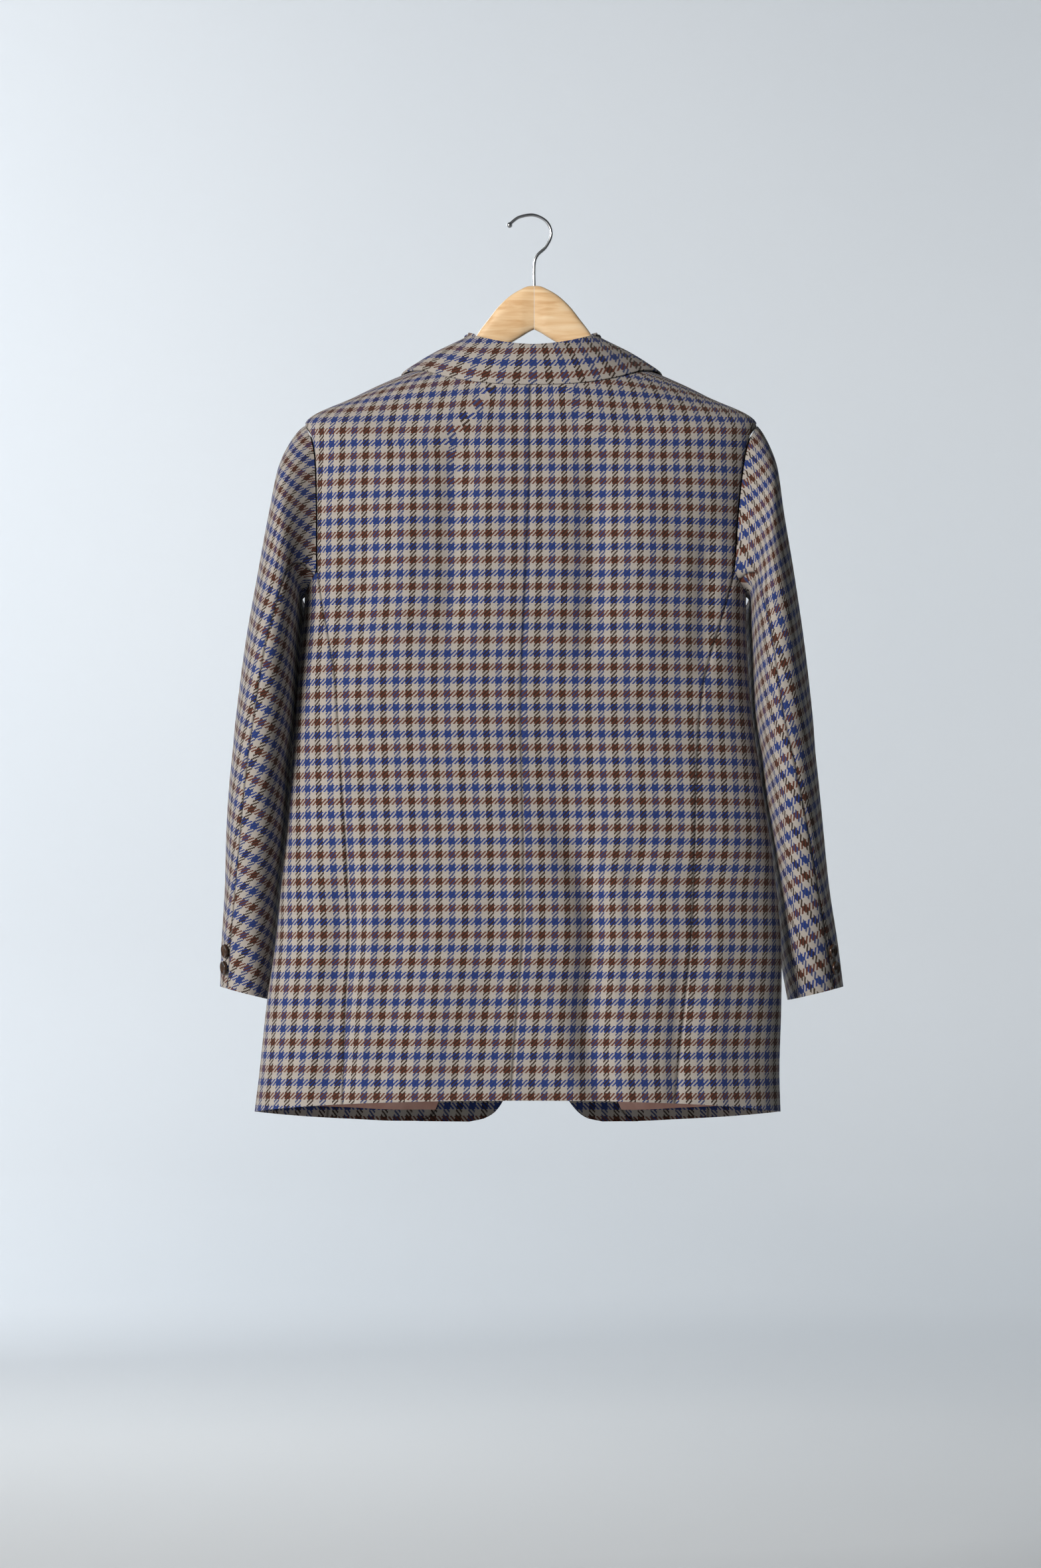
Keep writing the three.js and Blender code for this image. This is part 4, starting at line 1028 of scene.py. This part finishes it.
stitches = stitch_tree()
BUTTON_LEVELS = (0.505, 0.385, 0.265)
SLIT_FROM, SLIT_TO, SLIT_HALF = -3.0, 18.0, 1.3
STITCH_MM = (0.85, 2.4, 0.34)  # spacing, length and thread radius
BODY_LENGTH = 765.0
for number, level in enumerate(BUTTON_LEVELS, 1):
    turn = np.linspace(0, 2 * np.pi, 73)[:-1]
    reach = np.clip(np.cos(turn) * 1.15, -1, 1)
    along = mix(SLIT_FROM, SLIT_TO, (reach + 1) / 2)
    at = level + SLIT_HALF * np.sin(turn) / BODY_LENGTH
    angle = front_angle(along, at)
    outward = body_normal(angle, at, 1)
    points = body(angle, at, 1) + outward * (lap_lift(angle, 1) + 0.25)[:, None]
    over = np.stack([np.cos(turn) ** 5, 0 * turn, np.sin(turn)], axis=-1)
    over = unit(over - outward * (over * outward).sum(axis=-1)[:, None])
    piece = stitched(f"front_buttonhole_{number}", points, over, *STITCH_MM)
    seat(piece, "tweed")

# ---- Hanger -------------------------------------------------------------------------------------
# Two shaped halves of pale beech glued at the middle under a clear varnish, and a bright plated
# wire hook with a ball tip.


def beech_material():
    # Varnished beech: pale pinkish tan with short dark flecks and a long faint grain.
    material, tree, shader = new_material("varnished_beech", Roughness=0.38, Coat_Weight=0.25)
    shader.inputs["Coat Roughness"].default_value = 0.2
    place = node(tree, "ShaderNodeTexCoord").outputs["Object"]
    stretched = {"Scale": (18.0, 160.0, 160.0)}
    long_way = node(tree, "ShaderNodeMapping", stretched, {"Vector": place}).outputs[0]
    grain = noise(tree, long_way, Scale=1.0, Detail=4.0, Distortion=0.6)
    colour = colour_steps(tree, ["#d4ac7c", "#e6c69a", "#efd6b0"], grain, [0.3, 0.5, 0.72])
    tree.links.new(colour, shader.inputs["Base Color"])
    bumped(tree, shader, grain, 0.15, 0.2)
    return material


def plate_material():
    material, tree, shader = new_material("bright_nickel_plate", Metallic=1.0, Roughness=0.22)
    place = node(tree, "ShaderNodeTexCoord").outputs["Object"]
    wear = noise(tree, place, Scale=90.0, Detail=2.0)
    colour = colour_steps(tree, ["#b9bcc0", "#d9dbde"], wear, [0.35, 0.65])
    tree.links.new(colour, shader.inputs["Base Color"])
    return material


beech = beech_material()
plate = plate_material()
ARM_SECTIONS = (
    "x top bottom half",
    (0, -71, -116, 6),
    (6, -71.6, -119, 6.5),
    (14, -75, -124, 7),
    (24, -81, -130, 7),
    (36, -92, -137, 7),
    (47, -106, -146, 7),
    (58, -121, -156, 7),
    (63.5, -133, -162, 7.2),
    (66, -142, -165, 7.5),
    (74, -146, -171, 8),
    (100, -156, -184, 9),
    (135, -168, -200, 10.5),
    (170, -186, -215, 12),
    (194, -198, -227, 11),
    (202, -202, -227, 7),
)
SHOULDER_CLEAR = 3.0  # cloth and air between the arm and the shoulder's outer face
INSIDE_NECK = 66  # nearer the middle than this, the arms stand clear in the neck
JOINT_HALF = 0.15
ARM_SQUARE = 3.0  # how square the arm's cross-section is


def lofted(name, rings, material):
    """A closed solid skinned through rings of equal counts, in metres."""
    bm = bmesh.new()
    made = [[bm.verts.new(p) for p in ring] for ring in rings]
    count = len(made[0])
    for lower, upper in zip(made, made[1:]):
        for i in range(count):
            bm.faces.new((lower[i], lower[(i + 1) % count], upper[(i + 1) % count], upper[i]))
    bm.faces.new(made[0])
    bm.faces.new(made[-1])
    bmesh.ops.recalc_face_normals(bm, faces=bm.faces)
    mesh = mesh_from(name, bm)
    mesh.shade_smooth()
    mesh.set_sharp_from_angle(angle=math.radians(50))
    mesh.materials.append(material)
    return placed(name, mesh)


def shoulder_height(x):
    """Height of the narrower shoulder above a distance from the middle."""
    if x <= INSIDE_NECK:
        return 0.0
    at = np.linspace(1, AT_TIP, 60)
    return np.interp(x, ring["halfWidth"](at) - ring["lean"](at), ring["zSide"](at))


arm_curves = curves(ARM_SECTIONS, "x")
around = np.linspace(0, 2 * np.pi, 49)[:-1]
rounder = 2 / ARM_SQUARE
arm_y = np.sign(np.cos(around)) * np.abs(np.cos(around)) ** rounder
arm_z = np.sign(np.sin(around)) * np.abs(np.sin(around)) ** rounder
for side, hand in HANDS:
    arm_rings = []
    for x in np.concatenate([[JOINT_HALF, 0.8], np.linspace(2, 200, 120), [201.2, 201.8, 202]]):
        shrink = 0.9 if x == 202 else 0.96 if x > 201.5 else 1.0
        top = min(arm_curves["top"](x), shoulder_height(x) - SHOULDER_CLEAR)
        bottom = arm_curves["bottom"](x)
        half_high = (top - bottom) / 2 - (1 - shrink) * 8
        y = arm_curves["half"](x) * shrink * arm_y
        z = (top + bottom) / 2 + half_high * arm_z
        arm_rings.append(np.stack([x * hand + 0 * around, y, z], 1) * MM)
    arm = lofted(f"hanger_arm_{side}_beech", arm_rings, beech)
    seat(arm, "wood", f"hanger_arm_{side}")

WIRE_RADIUS = 1.6
BALL_RADIUS = 2.9
HOOK_ROUTE = (
    "x z",
    (0, -72),
    (0, -50),
    (-3, -40),
    (-12, -31),
    (-17.5, -18),
    (-13, -5.5),
    (0, 1.6),
    (14, 0),
    (22, -5),
    (27, -11),
)
hook_points = spline([np.array([x, 0.0, z]) for x, z in HOOK_ROUTE[1:]], 110) * MM
tangents = unit(np.gradient(hook_points, axis=0))
run = np.concatenate([[0], np.cumsum(np.linalg.norm(np.diff(hook_points, axis=0), axis=-1))]) / MM
wire_turn = np.linspace(0, 2 * np.pi, 21)[:-1]
wire_rings = []
for point, tangent, gone in zip(hook_points, tangents, run):
    left = run[-1] - gone
    bulge = BALL_RADIUS * math.sqrt(max(1 - (left / BALL_RADIUS - 1) ** 2, 0.02))
    radius = (bulge if left < BALL_RADIUS else max(WIRE_RADIUS, bulge)) * MM
    side_way = np.cross((0, 1.0, 0), tangent)
    spokes = [side_way * math.cos(t) + np.array([0, math.sin(t), 0]) for t in wire_turn]
    wire_rings.append([point + radius * spoke for spoke in spokes])
hook = lofted("hook_wire", wire_rings, plate)
seat(hook, "wire", "hanger_hook")

# ---- Studio -------------------------------------------------------------------------------------
# A floor runs into a round wall, pale behind the jacket and painted grey behind the camera and round to
# the jacket's right: painted shade, standing in for an unlit room and a wall in shadow. One large soft
# light stands beside the camera, which looks at the jacket's back with a long lens, tipped up a little;
# a weaker light serves the front, and two wash the wall.

FLOOR_Z = -1.55
WALL_RADIUS = 9.0
WALL_HEIGHT = 8.0


def studio_material():
    material, tree, shader = new_material("matt_studio_paint", Roughness=0.9)
    place = node(tree, "ShaderNodeTexCoord").outputs["Object"]
    mottle = noise(tree, place, Scale=0.4)
    pale = colour_steps(tree, ["#e2e7ea", "#e8ecee"], mottle, [0.3, 0.7])
    # The paint turns grey away from the jacket's back, towards the camera and the jacket's right:
    # painted shade for the unlit room and the shaded wall.
    shade_way = {"operation": "DOT_PRODUCT", 1: (-0.35, 1, 0)}
    towards = node(tree, "ShaderNodeVectorMath", shade_way, {0: place}).outputs["Value"]
    shade = node(tree, "ShaderNodeMapRange", {1: -1.5, 2: 3.0}, {0: towards}).outputs[0]
    painted_shade_grey = {"data_type": "RGBA", 7: linear("#6f7478")}
    paint = node(tree, "ShaderNodeMix", painted_shade_grey, {0: shade, 6: pale}).outputs[2]
    tree.links.new(paint, shader.inputs["Base Color"])
    return material


wall_profile = (
    (7.0, FLOOR_Z),
    (8.2, FLOOR_Z + 0.25),
    (8.85, FLOOR_Z + 0.9),
    (WALL_RADIUS, FLOOR_Z + 2.0),
    (WALL_RADIUS, WALL_HEIGHT),
)
wall_turn = np.linspace(0, 2 * np.pi, 97)[:-1]
bm = bmesh.new()
centre = bm.verts.new((0, 0, FLOOR_Z))
wall_rings = [
    [bm.verts.new((r * math.cos(t), r * math.sin(t), z)) for t in wall_turn] for r, z in wall_profile
]
for i in range(len(wall_turn)):
    j = (i + 1) % len(wall_turn)
    bm.faces.new((centre, wall_rings[0][i], wall_rings[0][j]))
    for lower, upper in zip(wall_rings, wall_rings[1:]):
        bm.faces.new((lower[i], upper[i], upper[j], lower[j]))
backdrop = placed("studio_backdrop", mesh_from("studio_backdrop", bm))
backdrop.data.shade_smooth()
backdrop.data.materials.append(studio_material())


def area_light(name, place, aim, size, power, colour):
    light = bpy.data.lights.new(name, "AREA")
    light.shape, light.size, light.energy, light.color = "DISK", size, power, linear(colour)[:3]
    lamp = placed(name, light)
    lamp.location = place
    lamp.rotation_euler = (Vector(aim) - Vector(place)).to_track_quat("-Z", "Y").to_euler()


area_light("key_window", (3.75, 4.9, 0.9), (0, 0, -0.5), 2.1, 460, "#fff8f2")
area_light("front_window", (1.6, -3.4, 0.9), (0, 0, -0.5), 1.8, 40, "#ffffff")
area_light("wall_wash_left", (4.0, -5.0, 2.0), (1.2, -9, -0.6), 2.0, 190, "#f4f8ff")
area_light("wall_wash_right", (-4.0, -5.0, 2.0), (-1.2, -9, -0.6), 2.0, 15, "#f4f8ff")
world = bpy.data.worlds.new("studio_air")
bpy.context.scene.world = world
world.use_nodes = True
air = world.node_tree.nodes["Background"]
air.inputs["Color"].default_value = linear("#e6ecf2")
air.inputs["Strength"].default_value = 0.1
bpy.context.scene.view_settings.view_transform = "Standard"

camera_data = bpy.data.cameras.new("long_lens")
camera_data.lens = 106.6
camera_data.sensor_width = 36.0
camera_data.clip_end = 40.0
camera = placed("long_lens", camera_data)
camera.location = (0.014, 4.724, -0.783)
camera.rotation_euler = (math.radians(90 + 2.446), 0, math.radians(180))
bpy.context.scene.camera = camera
